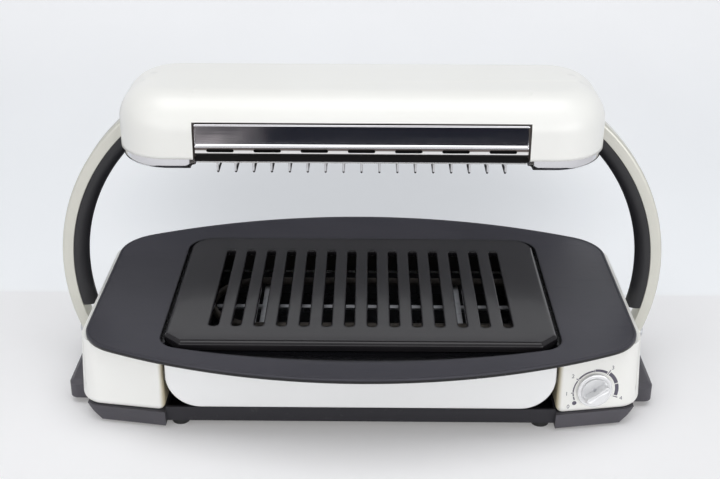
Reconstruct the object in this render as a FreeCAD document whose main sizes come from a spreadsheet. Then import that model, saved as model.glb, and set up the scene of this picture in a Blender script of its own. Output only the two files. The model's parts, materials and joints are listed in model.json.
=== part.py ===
import FreeCAD, Part
import Sketcher
import math
import os
import re

# Electric table grill: a lower heater under a slotted plate and an upper heater on two arms.
# Millimetres, X to the right, Y to the back, Z up, origin on the table under the middle.

SIZES = {
    "plastic_wall": 2.5,
    "sheet": 1.2,
    "seat_gap": 0.3,
    "pin_gap": 0.06,
    "foot_height": 3.0,
    "foot_radius": 8.0,
    "foot_side": 160.0,
    "foot_depth": 99.0,
    "strip_front": 110.0,
    "strip_low": 6.6,
    "strip_high": 20.5,
    "strip_wall": 3.0,
    "chassis_top": 16.6,
    "undercut": 13.2,
    "foot_room_side": 26.0,
    "foot_room_end": 16.0,
    "block_inner": 171.5,
    "block_outer": 249.0,
    "block_front": 113.4,
    "block_splay": 12.7,
    "block_draft": 2.7,
    "block_top": 79.5,
    "block_corner": 22.0,
    "block_edge": 5.0,
    "block_round": 7.0,
    "block_flange": 9.0,
    "rebate_floor": 73.5,
    "rebate_width": 8.5,
    "wing_outer": 265.5,
    "wing_front": 73.0,
    "wing_low": 6.0,
    "wing_top": 24.0,
    "wing_chamfer": 4.0,
    "wing_corner": 8.0,
    "wing_end_wall": 9.0,
    "web_depth": 7.0,
    "web_setback": 10.0,
    "pivot_height": 40.0,
    "pivot_radius": 4.0,
    "pivot_boss": 12.0,
    "pivot_reach": 251.7,
    "bracket_inner": 236.0,
    "bracket_sheet": 3.0,
    "bracket_half": 17.0,
    "bracket_rise": 18.0,
    "bracket_toe": 26.0,
    "pin_tail": 3.0,
    "cap_sheet": 2.0,
    "cap_flange": 4.0,
    "arm_centre_side": 87.5,
    "arm_centre_height": 108.6,
    "arm_outer": 189.0,
    "arm_parting": 178.4,
    "arm_inner": 165.6,
    "arm_half": 9.5,
    "arm_edge": 3.0,
    "arm_end_side": 190.0,
    "eye_radius": 13.0,
    "arm_eye_length": 11.6,
    "grip_low": 68.0,
    "grip_high": 234.5,
    "grip_span": 90.0,
    "grip_tilt": 12.0,
    "arm_top_angle": 60.0,
    "cable_span": 52.0,
    "cable_tilt": 9.0,
    "cable_radius": 2.6,
    "head_half": 209.5,
    "head_deep": 65.0,
    "head_low": 235.6,
    "head_high": 289.0,
    "head_corner": 47.0,
    "head_round": 30.0,
    "notch_half": 140.8,
    "notch_high": 267.2,
    "pan_low": 225.5,
    "pan_edge": 5.0,
    "pan_inset": 1.5,
    "panel_half": 139.8,
    "panel_front": 64.4,
    "panel_bead": 247.2,
    "panel_low": 238.6,
    "bead_depth": 1.6,
    "bead_half": 0.7,
    "vent_length": 23.0,
    "vent_high": 3.0,
    "vent_pitch": 39.5,
    "vent_level": 242.2,
    "reflector_lip": 61.4,
    "reflector_low": 231.6,
    "reflector_roof": 257.0,
    "reflector_roof_half": 46.0,
    "heater_radius": 4.0,
    "upper_heater_y": 24.0,
    "upper_heater_z": 243.0,
    "heater_tail": 6.0,
    "end_cap_length": 12.0,
    "end_cap_wall": 2.5,
    "end_cap_seat": 4.0,
    "holder_sheet": 1.0,
    "holder_inset": 1.8,
    "wire_radius": 1.1,
    "wire_pitch": 15.2,
    "wire_level": 222.6,
    "wire_reach": 60.0,
    "wire_bend": 2.4,
    "cross_side": 26.0,
    "cross_over": 3.0,
    "beam_level": 270.0,
    "beam_half": 14.0,
    "beam_lip": 6.0,
    "beam_lip_end": 25.0,
    "beam_drop": 12.0,
    "beam_end_sheet": 2.0,
    "cutoff_side": 78.0,
    "cutoff_half": 8.0,
    "cutoff_deep": 7.0,
    "cutoff_high": 5.0,
    "surround_half": 242.0,
    "surround_deep": 167.5,
    "surround_arc": 497.0,
    "surround_corner": 45.0,
    "surround_top": 84.0,
    "surround_rim": 4.0,
    "surround_skin": 2.5,
    "well_half": 174.0,
    "well_back": 111.0,
    "well_front": 112.5,
    "well_scoop": 141.0,
    "well_corner": 24.0,
    "well_front_corner": 20.0,
    "well_floor": 76.8,
    "well_sheet": 2.0,
    "window_half": 160.0,
    "window_deep": 93.0,
    "window_corner": 10.0,
    "plate_half": 171.2,
    "plate_deep": 108.5,
    "plate_shift": 1.4,
    "plate_top": 86.0,
    "plate_skin": 6.0,
    "plate_lip": 5.0,
    "plate_corner": 22.0,
    "plate_facet": 15.0,
    "plate_round": 4.2,
    "slot_pitch": 20.0,
    "slot_width": 8.0,
    "slot_length": 157.0,
    "liner_half": 161.0,
    "liner_deep": 93.0,
    "liner_low": 56.0,
    "tube_radius": 3.5,
    "tube_y": 46.0,
    "tube_z": 67.0,
    "tube_inset": 20.0,
    "tube_tail": 12.0,
    "support_sheet": 2.0,
    "support_half": 3.0,
    "tie_side": 90.0,
    "tie_half": 4.0,
    "terminal_inset": 13.5,
    "terminal_outer": 26.0,
    "terminal_reach": 9.0,
    "terminal_drop": 7.0,
    "terminal_rise": 3.5,
    "post_inset": 14.0,
    "post_outer": 25.0,
    "post_half": 6.0,
    "drawer_half": 169.3,
    "drawer_low": 22.8,
    "drawer_high": 73.0,
    "drawer_face": 114.6,
    "drawer_skin": 3.0,
    "drawer_corner": 30.0,
    "drawer_edge": 2.0,
    "tray_half": 150.0,
    "tray_low": 24.5,
    "tray_high": 49.0,
    "tray_flange": 11.0,
    "tray_front": 106.0,
    "tray_back": 102.0,
    "tray_corner": 14.0,
    "lug_side": 110.0,
    "lug_half": 12.0,
    "lug_high": 14.0,
    "rail_sheet": 1.5,
    "rail_gap": 3.0,
    "rail_drop": 5.0,
    "rail_rise": 3.0,
    "rail_lip": 6.0,
    "knob_side": 204.0,
    "knob_height": 39.5,
    "knob_radius": 15.8,
    "knob_skirt": 3.5,
    "knob_disc": 12.6,
    "knob_depth": 12.0,
    "knob_bar": 8.5,
    "knob_off_angle": 32.0,
    "knob_edge": 0.8,
    "knob_step": 1.5,
    "knob_bar_round": 1.6,
    "knob_socket": 6.0,
    "knob_gap": 0.6,
    "spindle_radius": 3.0,
    "thermostat_seat": 13.0,
    "thermostat_radius": 13.0,
    "thermostat_length": 18.0,
    "thermostat_neck": 6.0,
    "neck_length": 3.5,
    "spindle_depth": 9.0,
    "inlet_half": 16.6,
    "inlet_height": 17.2,
    "inlet_deep": 23.0,
    "inlet_wall": 3.0,
    "inlet_set_in": 3.0,
    "inlet_pin_length": 10.0,
    "inlet_pin_rise": 8.6,
    "inlet_pin_side": 6.35,
    "inlet_pin_radius": 1.6,
}

SLOTS = 14
WIRES = 17
VENTS = 7

doc = FreeCAD.newDocument("TableGrill")
sheet = doc.addObject("Spreadsheet::Sheet", "Sizes")
for row, (alias, number) in enumerate(SIZES.items(), 1):
    sheet.set(f"A{row}", alias)
    sheet.set(f"B{row}", str(number))
    sheet.setAlias(f"B{row}", alias)
probe = doc.addObject("App::FeaturePython", "Probe")
doc.recompute()

ALIAS = re.compile(r"[a-z][a-z_]*")
PIECES = {}
X = FreeCAD.Vector(1, 0, 0)
Y = FreeCAD.Vector(0, 1, 0)
Z = FreeCAD.Vector(0, 0, 1)
ALONG_X = FreeCAD.Rotation(Y, 90)
ALONG_Y = FreeCAD.Rotation(X, -90)
UPRIGHT = FreeCAD.Rotation()


def formula(text):
    # A sheet formula from a sum written with the plain names of the sizes.
    def in_sheet(word):
        return "Sizes." + word.group() if word.group() in SIZES else word.group()

    return ALIAS.sub(in_sheet, str(text))


def number(text):
    return float(probe.evalExpression(formula(text)))


def bind(obj, **properties):
    for name, text in properties.items():
        obj.setExpression(name.replace("__", "."), formula(text))
    return obj


def place(obj, x, y, z, rotation=UPRIGHT):
    obj.Placement = FreeCAD.Placement(FreeCAD.Vector(), rotation)
    return bind(obj, Placement__Base__x=x, Placement__Base__y=y, Placement__Base__z=z)


def keep(node, obj):
    obj.Label = node
    PIECES[node] = obj
    return obj


def box(name, x_low, x_high, y_low, y_high, z_low, z_high):
    obj = doc.addObject("Part::Box", name)
    bind(obj, Length=f"{x_high} - ({x_low})", Width=f"{y_high} - ({y_low})", Height=f"{z_high} - ({z_low})")
    return place(obj, x_low, y_low, z_low)


def rod(name, radius, length, x, y, z, rotation=UPRIGHT):
    obj = doc.addObject("Part::Cylinder", name)
    bind(obj, Radius=radius, Height=length)
    return place(obj, x, y, z, rotation)


def cut(name, base, *tools):
    obj = doc.addObject("Part::Cut", name)
    obj.Base = base
    obj.Tool = tools[0] if len(tools) == 1 else fuse(name + "_tools", *tools)
    return obj


def fuse(name, *parts):
    obj = doc.addObject("Part::MultiFuse", name)
    obj.Shapes = list(parts)
    return obj


def common(name, *parts):
    obj = doc.addObject("Part::MultiCommon", name)
    obj.Shapes = list(parts)
    return obj


def group(name, *parts):
    obj = doc.addObject("Part::Compound", name)
    obj.Links = list(parts)
    return obj


def mirrored(name, source):
    obj = doc.addObject("Part::Mirroring", name)
    obj.Source = source
    obj.Normal = X
    return obj


def rounded(name, base, radius, chosen):
    # Rounds the edges of base for which chosen(edge) is true.
    doc.recompute()
    obj = doc.addObject("Part::Fillet", name)
    obj.Base = base
    size = number(radius)
    obj.Edges = [(index, size, size) for index, edge in enumerate(base.Shape.Edges, 1) if chosen(edge)]
    return obj


def upright(edge):
    return abs(edge.tangentAt(edge.FirstParameter).z) > 0.98


def runs_back(edge):
    return abs(edge.tangentAt(edge.FirstParameter).y) > 0.9


def middle(edge):
    return edge.valueAt((edge.FirstParameter + edge.LastParameter) / 2)


def face_names(feature, chosen):
    return [f"Face{index}" for index, face in enumerate(feature.Shape.Faces, 1) if chosen(face)]


def edge_names(feature, chosen):
    return [f"Edge{index}" for index, edge in enumerate(feature.Shape.Edges, 1) if chosen(edge)]


def new_body(name):
    return doc.addObject("PartDesign::Body", name)


def new_sketch(body, name, role="XY_Plane", offset="0"):
    sketch = body.newObject("Sketcher::SketchObject", name)
    plane = [feature for feature in body.Origin.OriginFeatures if feature.Role == role][0]
    sketch.AttachmentSupport = [(plane, "")]
    sketch.MapMode = "FlatFace"
    return bind(sketch, AttachmentOffset__Base__z=offset)


def fix_point(sketch, curve, point, x, y):
    for kind, text in (("DistanceX", x), ("DistanceY", y)):
        where = number(text)
        if abs(where) < 1e-9:
            axis = -2 if kind == "DistanceX" else -1
            sketch.addConstraint(Sketcher.Constraint("PointOnObject", curve, point, axis))
            continue
        row = sketch.addConstraint(Sketcher.Constraint(kind, -1, 1, curve, point, where))
        sketch.setExpression(f"Constraints[{row}]", formula(text))


def draw_polygon(sketch, corners):
    spots = [FreeCAD.Vector(number(x), number(y), 0) for x, y in corners]
    first = sketch.GeometryCount
    count = len(spots)
    for index in range(count):
        sketch.addGeometry(Part.LineSegment(spots[index], spots[(index + 1) % count]))
    for index in range(count):
        follower = first + (index + 1) % count
        sketch.addConstraint(Sketcher.Constraint("Coincident", first + index, 2, follower, 1))
    for index, (x, y) in enumerate(corners):
        fix_point(sketch, first + index, 1, x, y)


def draw_rectangle(sketch, x_low, x_high, y_low, y_high):
    draw_polygon(sketch, [(x_low, y_low), (x_high, y_low), (x_high, y_high), (x_low, y_high)])


def draw_circle(sketch, x, y, radius):
    circle = Part.Circle(FreeCAD.Vector(number(x), number(y), 0), Z, number(radius))
    curve = sketch.addGeometry(circle)
    row = sketch.addConstraint(Sketcher.Constraint("Radius", curve, number(radius)))
    sketch.setExpression(f"Constraints[{row}]", formula(radius))
    fix_point(sketch, curve, 3, x, y)


def draw_slot(sketch, low, high, radius):
    # A round-ended slot whose end circles have their centres at low and high.
    size = number(radius)
    starts = [FreeCAD.Vector(number(x), number(y), 0) for x, y in (low, high)]
    along = (starts[1] - starts[0]).normalize()
    across = FreeCAD.Vector(-along.y, along.x, 0) * size
    turn = math.atan2(along.y, along.x)
    quarter = math.pi / 2
    far = Part.ArcOfCircle(Part.Circle(starts[1], Z, size), turn - quarter, turn + quarter)
    near = Part.ArcOfCircle(Part.Circle(starts[0], Z, size), turn + quarter, turn + 3 * quarter)
    left = Part.LineSegment(starts[1] + across, starts[0] + across)
    right = Part.LineSegment(starts[0] - across, starts[1] - across)
    far, left, near, right = [sketch.addGeometry(curve) for curve in (far, left, near, right)]
    for one, other in ((far, left), (left, near), (near, right), (right, far)):
        sketch.addConstraint(Sketcher.Constraint("Tangent", one, 2, other, 1))
    row = sketch.addConstraint(Sketcher.Constraint("Radius", far, size))
    sketch.setExpression(f"Constraints[{row}]", formula(radius))
    fix_point(sketch, far, 3, *high)
    fix_point(sketch, near, 3, *low)


def pad(body, name, sketch, length, symmetric=False):
    obj = body.newObject("PartDesign::Pad", name)
    obj.Profile = sketch
    obj.Midplane = symmetric
    bind(obj, Length=length)
    doc.recompute()
    return obj


def pocket(body, name, sketch, length, upward=False, symmetric=False):
    before = body.Tip.Shape.Volume
    obj = body.newObject("PartDesign::Pocket", name)
    obj.Profile = sketch
    obj.Midplane = symmetric
    obj.Reversed = upward
    bind(obj, Length=length)
    doc.recompute()
    assert obj.Shape.Volume < before - 1, f"{name} cuts nothing"
    return obj


def fillet(body, name, radius, chosen):
    base = body.Tip
    obj = body.newObject("PartDesign::Fillet", name)
    obj.Base = (base, edge_names(base, chosen))
    bind(obj, Radius=radius)
    doc.recompute()
    return obj


def repeat_along(body, name, feature, sketch, axis, spread, copies):
    obj = body.newObject("PartDesign::LinearPattern", name)
    obj.Originals = [feature]
    obj.Direction = (sketch, [axis])
    bind(obj, Length=spread)
    obj.Occurrences = copies
    body.Tip = obj
    doc.recompute()
    return obj


def lens(name, half, deep, arc, z_low, z_high):
    # A plate with straight ends and a bowed front and back, deep from the middle to each bow.
    slab = box(name + "_slab", f"-({half})", half, f"-({deep})", deep, z_low, z_high)
    bows = []
    for side, sign in (("front", "1"), ("back", "-1")):
        centre = f"{sign} * ({arc} - ({deep}))"
        bows.append(rod(f"{name}_{side}_bow", arc, f"{z_high} - ({z_low})", "0", centre, z_low))
    return common(name, slab, *bows)


def block_quad(sign, inner_inset, inset):
    # Corners of an end block's plan, drawn in by inset, and by inner_inset at its inner side.
    inner = f"(block_inner + ({inner_inset}))"
    outer = f"(block_outer - ({inset}))"
    front = f"(block_front - ({inset}))"
    corner = f"({front} - block_splay)"
    return [(f"{sign} * {inner}", f"-{front}"), (f"{sign} * {outer}", f"-{corner}"),
            (f"{sign} * {outer}", corner), (f"{sign} * {inner}", front)]


def face_frame():
    # Where the knob's axis leaves the leaning front face of the right end block.
    slope = math.atan(number("block_splay / (block_outer - block_inner)"))
    lean = math.radians(number("block_draft"))
    across = FreeCAD.Vector(math.sin(slope), -math.cos(slope), 0)
    normal = across * math.cos(lean) + Z * math.sin(lean)
    rise = number("knob_height - chassis_top")
    depth = -number("block_front") + math.tan(slope) * number("knob_side - block_inner")
    depth += rise * math.tan(lean) / math.cos(slope)
    spot = FreeCAD.Vector(number("knob_side"), depth, number("knob_height"))
    level = X.cross(normal).cross(normal) * -1
    return FreeCAD.Placement(spot, FreeCAD.Rotation(level, FreeCAD.Vector(), normal, "ZXY"))


def on_face(obj, depth="0"):
    # Stands obj, drawn along its own Z, on the knob's axis.
    shift = FreeCAD.Placement(FreeCAD.Vector(0, 0, number(depth)), FreeCAD.Rotation())
    obj.Placement = face_frame().multiply(shift)
    return obj


def end_block(node, sign):
    body = new_body(node + "_shell")
    plan = new_sketch(body, node + "_plan", offset="chassis_top")
    draw_polygon(plan, block_quad(sign, "0", "0"))
    form = pad(body, node + "_form", plan, "block_top - chassis_top")
    inner = number("block_inner")

    def is_drafted(face):
        return abs(face.normalAt(0, 0).z) < 0.1 and abs(abs(face.CenterOfMass.x) - inner) > 1

    def is_bottom(face):
        return face.normalAt(0, 0).z < -0.9

    draft = body.newObject("PartDesign::Draft", node + "_draft")
    draft.Base = (form, face_names(form, is_drafted))
    draft.NeutralPlane = (form, face_names(form, is_bottom))
    bind(draft, Angle="block_draft")
    doc.recompute()
    fillet(body, node + "_outer_corners", "block_corner",
           lambda edge: upright(edge) and abs(middle(edge).x) > inner + 10)
    fillet(body, node + "_inner_corners", "block_edge",
           lambda edge: upright(edge) and abs(middle(edge).x) < inner + 0.1)
    fillet(body, node + "_bottom_round", "block_round",
           lambda edge: runs_back(edge) and abs(edge.tangentAt(edge.FirstParameter).y) > 0.99
           and abs(middle(edge).z - number("chassis_top")) < 0.1)
    drawn_in = "plastic_wall + (block_top - chassis_top) * tan(block_draft)"
    mouth = new_sketch(body, node + "_mouth_plan", offset="chassis_top")
    draw_polygon(mouth, block_quad(sign, "block_flange", "block_flange + 1"))
    pocket(body, node + "_mouth", mouth, "block_round + 1.5", upward=True)
    ledge = "(chassis_top + block_round + 1)"
    hollow = new_sketch(body, node + "_hollow_plan", offset=ledge)
    draw_polygon(hollow, block_quad(sign, "plastic_wall", drawn_in))
    pocket(body, node + "_hollow", hollow, f"rebate_floor - plastic_wall - {ledge}", upward=True)
    roof = new_sketch(body, node + "_roof_plan", offset="rebate_floor - plastic_wall - 1")
    draw_polygon(roof, block_quad(sign, "rebate_width + plastic_wall", drawn_in))
    pocket(body, node + "_roof", roof, "block_top - rebate_floor + 1", upward=True)
    rebate = new_sketch(body, node + "_rebate", offset="block_top")
    draw_rectangle(rebate, f"{sign} * (block_inner - 1)", f"{sign} * (block_inner + rebate_width)",
                   "-block_front - 1", "block_front + 1")
    pocket(body, node + "_seat", rebate, "block_top - rebate_floor")
    reach = "pivot_reach - (block_outer - 6)"
    start = "block_outer - 6" if sign == "1" else "-pivot_reach"
    boss = rod(node + "_boss", "pivot_boss", reach, start, "0", "pivot_height", ALONG_X)
    bore_start = "block_outer - 20" if sign == "1" else "-(block_outer + 10)"
    bore = rod(node + "_bore", "pivot_radius", "30", bore_start, "0", "pivot_height", ALONG_X)
    cavity_start = "block_outer - 10" if sign == "1" else "-(block_outer - plastic_wall - 1.2)"
    clear = box(node + "_boss_relief", cavity_start, f"{cavity_start} + 10 - plastic_wall - 1.2",
                "-pivot_boss", "pivot_boss", "pivot_height - pivot_boss", "pivot_height + pivot_boss")
    return cut(node + "_drilled", fuse(node + "_with_boss", body, cut(node + "_boss_cut", boss, clear)), bore)


def end_blocks():
    left = end_block("end_block_left", "-1")
    keep("end_block_left", left)
    right = end_block("end_block_right", "1")
    shaft = on_face(stub("shaft_hole", "spindle_radius + 1", "20"), "-10")
    inlet = box("inlet_hole", "knob_side - inlet_half", "knob_side + inlet_half", "block_front - 25",
                "block_front + 5", "chassis_top - 1", "chassis_top + inlet_height")
    tubes = []
    for side, sign in (("front", "-"), ("back", "")):
        tubes.append(rod(f"tube_hole_{side}", "tube_radius + 1", "rebate_width + 4", "block_inner - 1",
                         f"{sign}tube_y", "tube_z", ALONG_X))
    keep("end_block_right", cut("end_block_right_open", right, shaft, inlet, *tubes))


def base_chassis():
    body = new_body("chassis_foot")
    rail = new_sketch(body, "foot_plan", offset="foot_height")
    for sign in ("-1", "1"):
        quad = block_quad(sign, "0", "0")
        draw_polygon(rail, [quad[0], (f"{sign} * (block_outer - block_round + 1)", quad[1][1]),
                            (f"{sign} * (block_outer - block_round + 1)", quad[2][1]), quad[3]])
    pad(body, "foot_pad", rail, "chassis_top - foot_height")
    base = body.Tip
    outer = number("block_outer - block_round + 1")
    low = number("foot_height")
    slope = body.newObject("PartDesign::Chamfer", "foot_undercut")
    slope.Base = (base, edge_names(base, lambda edge: abs(abs(middle(edge).x) - outer) < 0.1
                                   and abs(middle(edge).z - low) < 0.1))
    bind(slope, Size="undercut")
    doc.recompute()
    well = new_sketch(body, "foot_well", offset="chassis_top")
    for sign in ("-1", "1"):
        draw_rectangle(well, f"{sign} * (block_inner + strip_wall)",
                       f"{sign} * (block_outer - foot_room_side)",
                       "-block_front + foot_room_end", "block_front - foot_room_end")
    pocket(body, "foot_hollow", well, "chassis_top - foot_height - strip_wall")
    limits = []
    for side, sign in (("left", "-1"), ("right", "1")):
        plan_body = new_body(f"foot_limit_{side}")
        plan = new_sketch(plan_body, f"foot_limit_plan_{side}")
        draw_polygon(plan, block_quad(sign, "0", "0"))
        pad(plan_body, f"foot_limit_pad_{side}", plan, "block_top")
        inner = number("block_inner")
        fillet(plan_body, f"foot_limit_round_{side}", "block_corner",
               lambda edge: upright(edge) and abs(middle(edge).x) > inner + 10)
        limits.append(plan_body)
    feet = common("foot_rounded", body, group("foot_limits", *limits))
    floor = box("chassis_floor", "-block_inner - 1", "block_inner + 1", "-strip_front", "strip_front",
                "strip_low", "strip_low + plastic_wall")
    parts = [feet, floor]
    for side, low_y, high_y in (("front", "-strip_front", "-strip_front + strip_wall"),
                                ("back", "strip_front - strip_wall", "strip_front")):
        parts.append(box(f"strip_{side}", "-block_inner", "block_inner", low_y, high_y,
                         "strip_low", "strip_high"))
    for side, low_x, high_x in (("left", "-wing_outer", "-block_outer - 0.1"),
                                ("right", "block_outer + 0.1", "wing_outer")):
        parts.append(wing(f"wing_{side}", low_x, high_x))
        web_low = "-block_outer - 1" if side == "left" else "block_outer - block_round - 2"
        web_high = "-block_outer + block_round + 2" if side == "left" else "block_outer + 1"
        parts.append(box(f"wing_web_{side}", web_low, web_high, "-wing_front + web_setback",
                         "wing_front - web_setback", "chassis_top - web_depth", "chassis_top"))
    keep("base_chassis", fuse("chassis_whole", *parts))


def wing(name, low_x, high_x):
    bar = box(name + "_bar", low_x, high_x, "-wing_front", "wing_front", "wing_low", "wing_top")
    outer = number("wing_outer")
    round_bar = rounded(name + "_round", bar, "wing_corner",
                        lambda edge: upright(edge) and abs(abs(middle(edge).x) - outer) < 0.1)
    doc.recompute()
    obj = doc.addObject("Part::Chamfer", name)
    obj.Base = round_bar
    size = number("wing_chamfer")
    top = number("wing_top")
    inner = number("block_outer + 0.2")
    obj.Edges = [(index, size, size) for index, edge in enumerate(round_bar.Shape.Edges, 1)
                 if abs(middle(edge).z - top) < 0.1 and abs(middle(edge).x) > inner]
    hollow = box(name + "_hollow", f"{low_x} + strip_wall", f"{high_x} - strip_wall",
                 "-wing_front + wing_end_wall", "wing_front - wing_end_wall",
                 "wing_low - 1", "wing_top - strip_wall")
    return cut(name + "_shell", obj, hollow)


def rubber_feet():
    feet = []
    for side in ("-", ""):
        for end in ("-", ""):
            feet.append(rod(f"foot_{len(feet) + 1}", "foot_radius", "strip_low",
                            f"{side}foot_side", f"{end}foot_depth", "0"))
    keep("rubber_feet", group("rubber_foot_set", *feet))


def rear_panel():
    body = new_body("rear_panel_body")
    sketch = new_sketch(body, "rear_outline", "XZ_Plane", "-strip_front")
    draw_rectangle(sketch, "-block_inner", "block_inner", "strip_high", "drawer_high")
    pad(body, "rear_pad", sketch, "drawer_skin")
    low = number("strip_high") + 1
    fillet(body, "rear_corners", "drawer_corner",
           lambda edge: runs_back(edge) and middle(edge).z < low)
    keep("rear_panel", body)


def pivots():
    eye_face = "(pivot_reach + seat_gap + arm_eye_length + seat_gap)"
    for side, sign in (("left", "-1"), ("right", "1")):
        inner = "bracket_inner - pin_tail"
        start = inner if side == "right" else f"-{eye_face}"
        pin = rod(f"pin_{side}", "pivot_radius", f"{eye_face} - ({inner})", start, "0",
                  "pivot_height", ALONG_X)
        cap_start = eye_face if side == "right" else f"-{eye_face} - cap_sheet"
        cap = rod(f"cap_{side}", "pivot_radius + cap_flange", "cap_sheet", cap_start, "0",
                  "pivot_height", ALONG_X)
        keep(f"pivot_pin_{side}", fuse(f"pin_{side}_whole", pin, cap))
        low_x = "bracket_inner" if side == "right" else "-bracket_inner - bracket_sheet"
        high_x = "bracket_inner + bracket_sheet" if side == "right" else "-bracket_inner"
        web = box(f"bracket_{side}_web", low_x, high_x, "-bracket_half", "bracket_half",
                  "chassis_top", "pivot_height + bracket_rise")
        toe_low = "bracket_inner - bracket_toe" if side == "right" else low_x
        toe_high = high_x if side == "right" else "-bracket_inner + bracket_toe"
        toe = box(f"bracket_{side}_toe", toe_low, toe_high, "-bracket_half", "bracket_half",
                  "chassis_top", "chassis_top + bracket_sheet")
        hole = rod(f"bracket_{side}_hole", "pivot_radius", "20", f"{sign} * bracket_inner - 10", "0",
                   "pivot_height", ALONG_X)
        keep(f"pivot_bracket_{side}", cut(f"bracket_{side}_drilled", fuse(f"bracket_{side}", web, toe), hole))


def surround_plate():
    outline = lens("surround", "surround_half", "surround_deep", "surround_arc",
                   "surround_top - surround_rim", "surround_top")
    plate = rounded("surround_plan", outline, "surround_corner", upright)
    under = lens("surround_under", "surround_half - surround_skin", "surround_deep - surround_skin",
                 "surround_arc - surround_skin", "surround_top - surround_rim - 1",
                 "surround_top - surround_skin")
    hollow = rounded("surround_hollow", under, "surround_corner - surround_skin", upright)
    shell = cut("surround_shell", plate, hollow)
    tray = well("well_outside", "well_sheet", "well_floor - well_sheet", "surround_top - 1")
    room = well("well_inside", "0", "well_floor", "surround_top + 1")
    window = box("well_window", "-window_half", "window_half", "-window_deep", "window_deep",
                 "well_floor - well_sheet - 1", "surround_top")
    window = rounded("well_window_round", window, "window_corner", upright)
    keep("surround_plate", cut("surround_whole", fuse("surround_blank", shell, tray), room, window))


def well(name, wall, low, high):
    # The sunk well for the grill plate, whose front wall slopes up from a straight foot to a bowed rim.
    half = number(f"well_half + {wall}")
    back = number(f"well_back + {wall}")
    foot = -number(f"well_front + {wall}")
    rim = -number(f"well_scoop + {wall}")
    bend = -number(f"well_front - 3 + {wall}")
    bottom = number(low)
    top = number(high)
    wires = []
    for level, middle_y, side_y in ((bottom, foot - 0.5, foot), (top, rim, bend)):
        corners = [FreeCAD.Vector(-half, side_y, level), FreeCAD.Vector(half, side_y, level),
                   FreeCAD.Vector(half, back, level), FreeCAD.Vector(-half, back, level)]
        bow = Part.Arc(corners[0], FreeCAD.Vector(0, middle_y, level), corners[1]).toShape()
        sides = [Part.LineSegment(corners[index], corners[(index + 1) % 4]).toShape()
                 for index in (1, 2, 3)]
        wires.append(Part.Wire([bow] + sides))
    solid = Part.makeLoft(wires, True, True)
    for corner, sign in (("well_corner", 1), ("well_front_corner", -1)):
        edges = [edge for edge in solid.Edges if middle(edge).y * sign > 0
                 and abs(edge.tangentAt(edge.FirstParameter).z) > 0.9]
        solid = solid.makeFillet(number(f"{corner} + {wall}"), edges)
    obj = doc.addObject("Part::Feature", name)
    obj.Shape = solid
    return obj


def grill_plate():
    body = new_body("plate_body")
    bottom = "well_floor + seat_gap"
    plan = new_sketch(body, "plate_plan", offset=bottom)
    front = "-plate_deep - plate_shift"
    back = "plate_deep - plate_shift"
    draw_polygon(plan, [("-plate_half + plate_facet", front), ("plate_half - plate_facet", front),
                        ("plate_half", f"{front} + plate_facet"), ("plate_half", back), ("-plate_half", back),
                        ("-plate_half", f"{front} + plate_facet")])
    pad(body, "plate_pad", plan, f"plate_top - ({bottom})")
    fillet(body, "plate_back_corners", "plate_corner", lambda edge: upright(edge) and middle(edge).y > 0)
    top = number("plate_top")
    fillet(body, "plate_top_round", "plate_round", lambda edge: abs(middle(edge).z - top) < 0.01)
    under = new_sketch(body, "plate_under_plan", offset=bottom)
    inset = "plate_lip"
    draw_rectangle(under, f"-plate_half + plate_facet + {inset}", f"plate_half - plate_facet - {inset}",
                   f"{front} + {inset}", f"{back} - {inset}")
    pocket(body, "plate_under", under, f"plate_top - plate_skin - ({bottom})", upward=True)
    slot_plan = new_sketch(body, "slot_plan", offset="plate_top")
    reach = "slot_length / 2 - slot_width / 2"
    first = f"-slot_pitch * {(SLOTS - 1) / 2}"
    draw_slot(slot_plan, (first, f"-({reach}) - plate_shift"), (first, f"{reach} - plate_shift"),
              "slot_width / 2")
    slot = pocket(body, "slot", slot_plan, "plate_skin + 2")
    repeat_along(body, "slots", slot, slot_plan, "H_Axis", f"slot_pitch * {SLOTS - 1}", SLOTS)
    keep("grill_plate", body)


def heater_liner():
    outer = box("liner_outer", "-liner_half", "liner_half", "-liner_deep - sheet", "liner_deep + sheet",
                "liner_low", "rebate_floor + sheet / 2")
    flanges = []
    for side, sign in (("left", -1), ("right", 1)):
        low = "-block_inner - rebate_width + 1" if sign < 0 else "liner_half - 1"
        high = "-liner_half + 1" if sign < 0 else "block_inner + rebate_width - 1"
        flanges.append(box(f"liner_flange_{side}", low, high, "-liner_deep", "liner_deep",
                           "rebate_floor", "rebate_floor + 1"))
    room = box("liner_room", "-liner_half + sheet", "liner_half - sheet", "-liner_deep", "liner_deep",
               "liner_low - 1", "block_top")
    holes = []
    for side, sign in (("front", "-"), ("back", "")):
        holes.append(rod(f"liner_hole_{side}", "tube_radius + 0.4", "10", "liner_half - 5",
                         f"{sign}tube_y", "tube_z", ALONG_X))
    keep("heater_liner", cut("liner_open", fuse("liner_blank", outer, *flanges), room, *holes))


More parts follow.
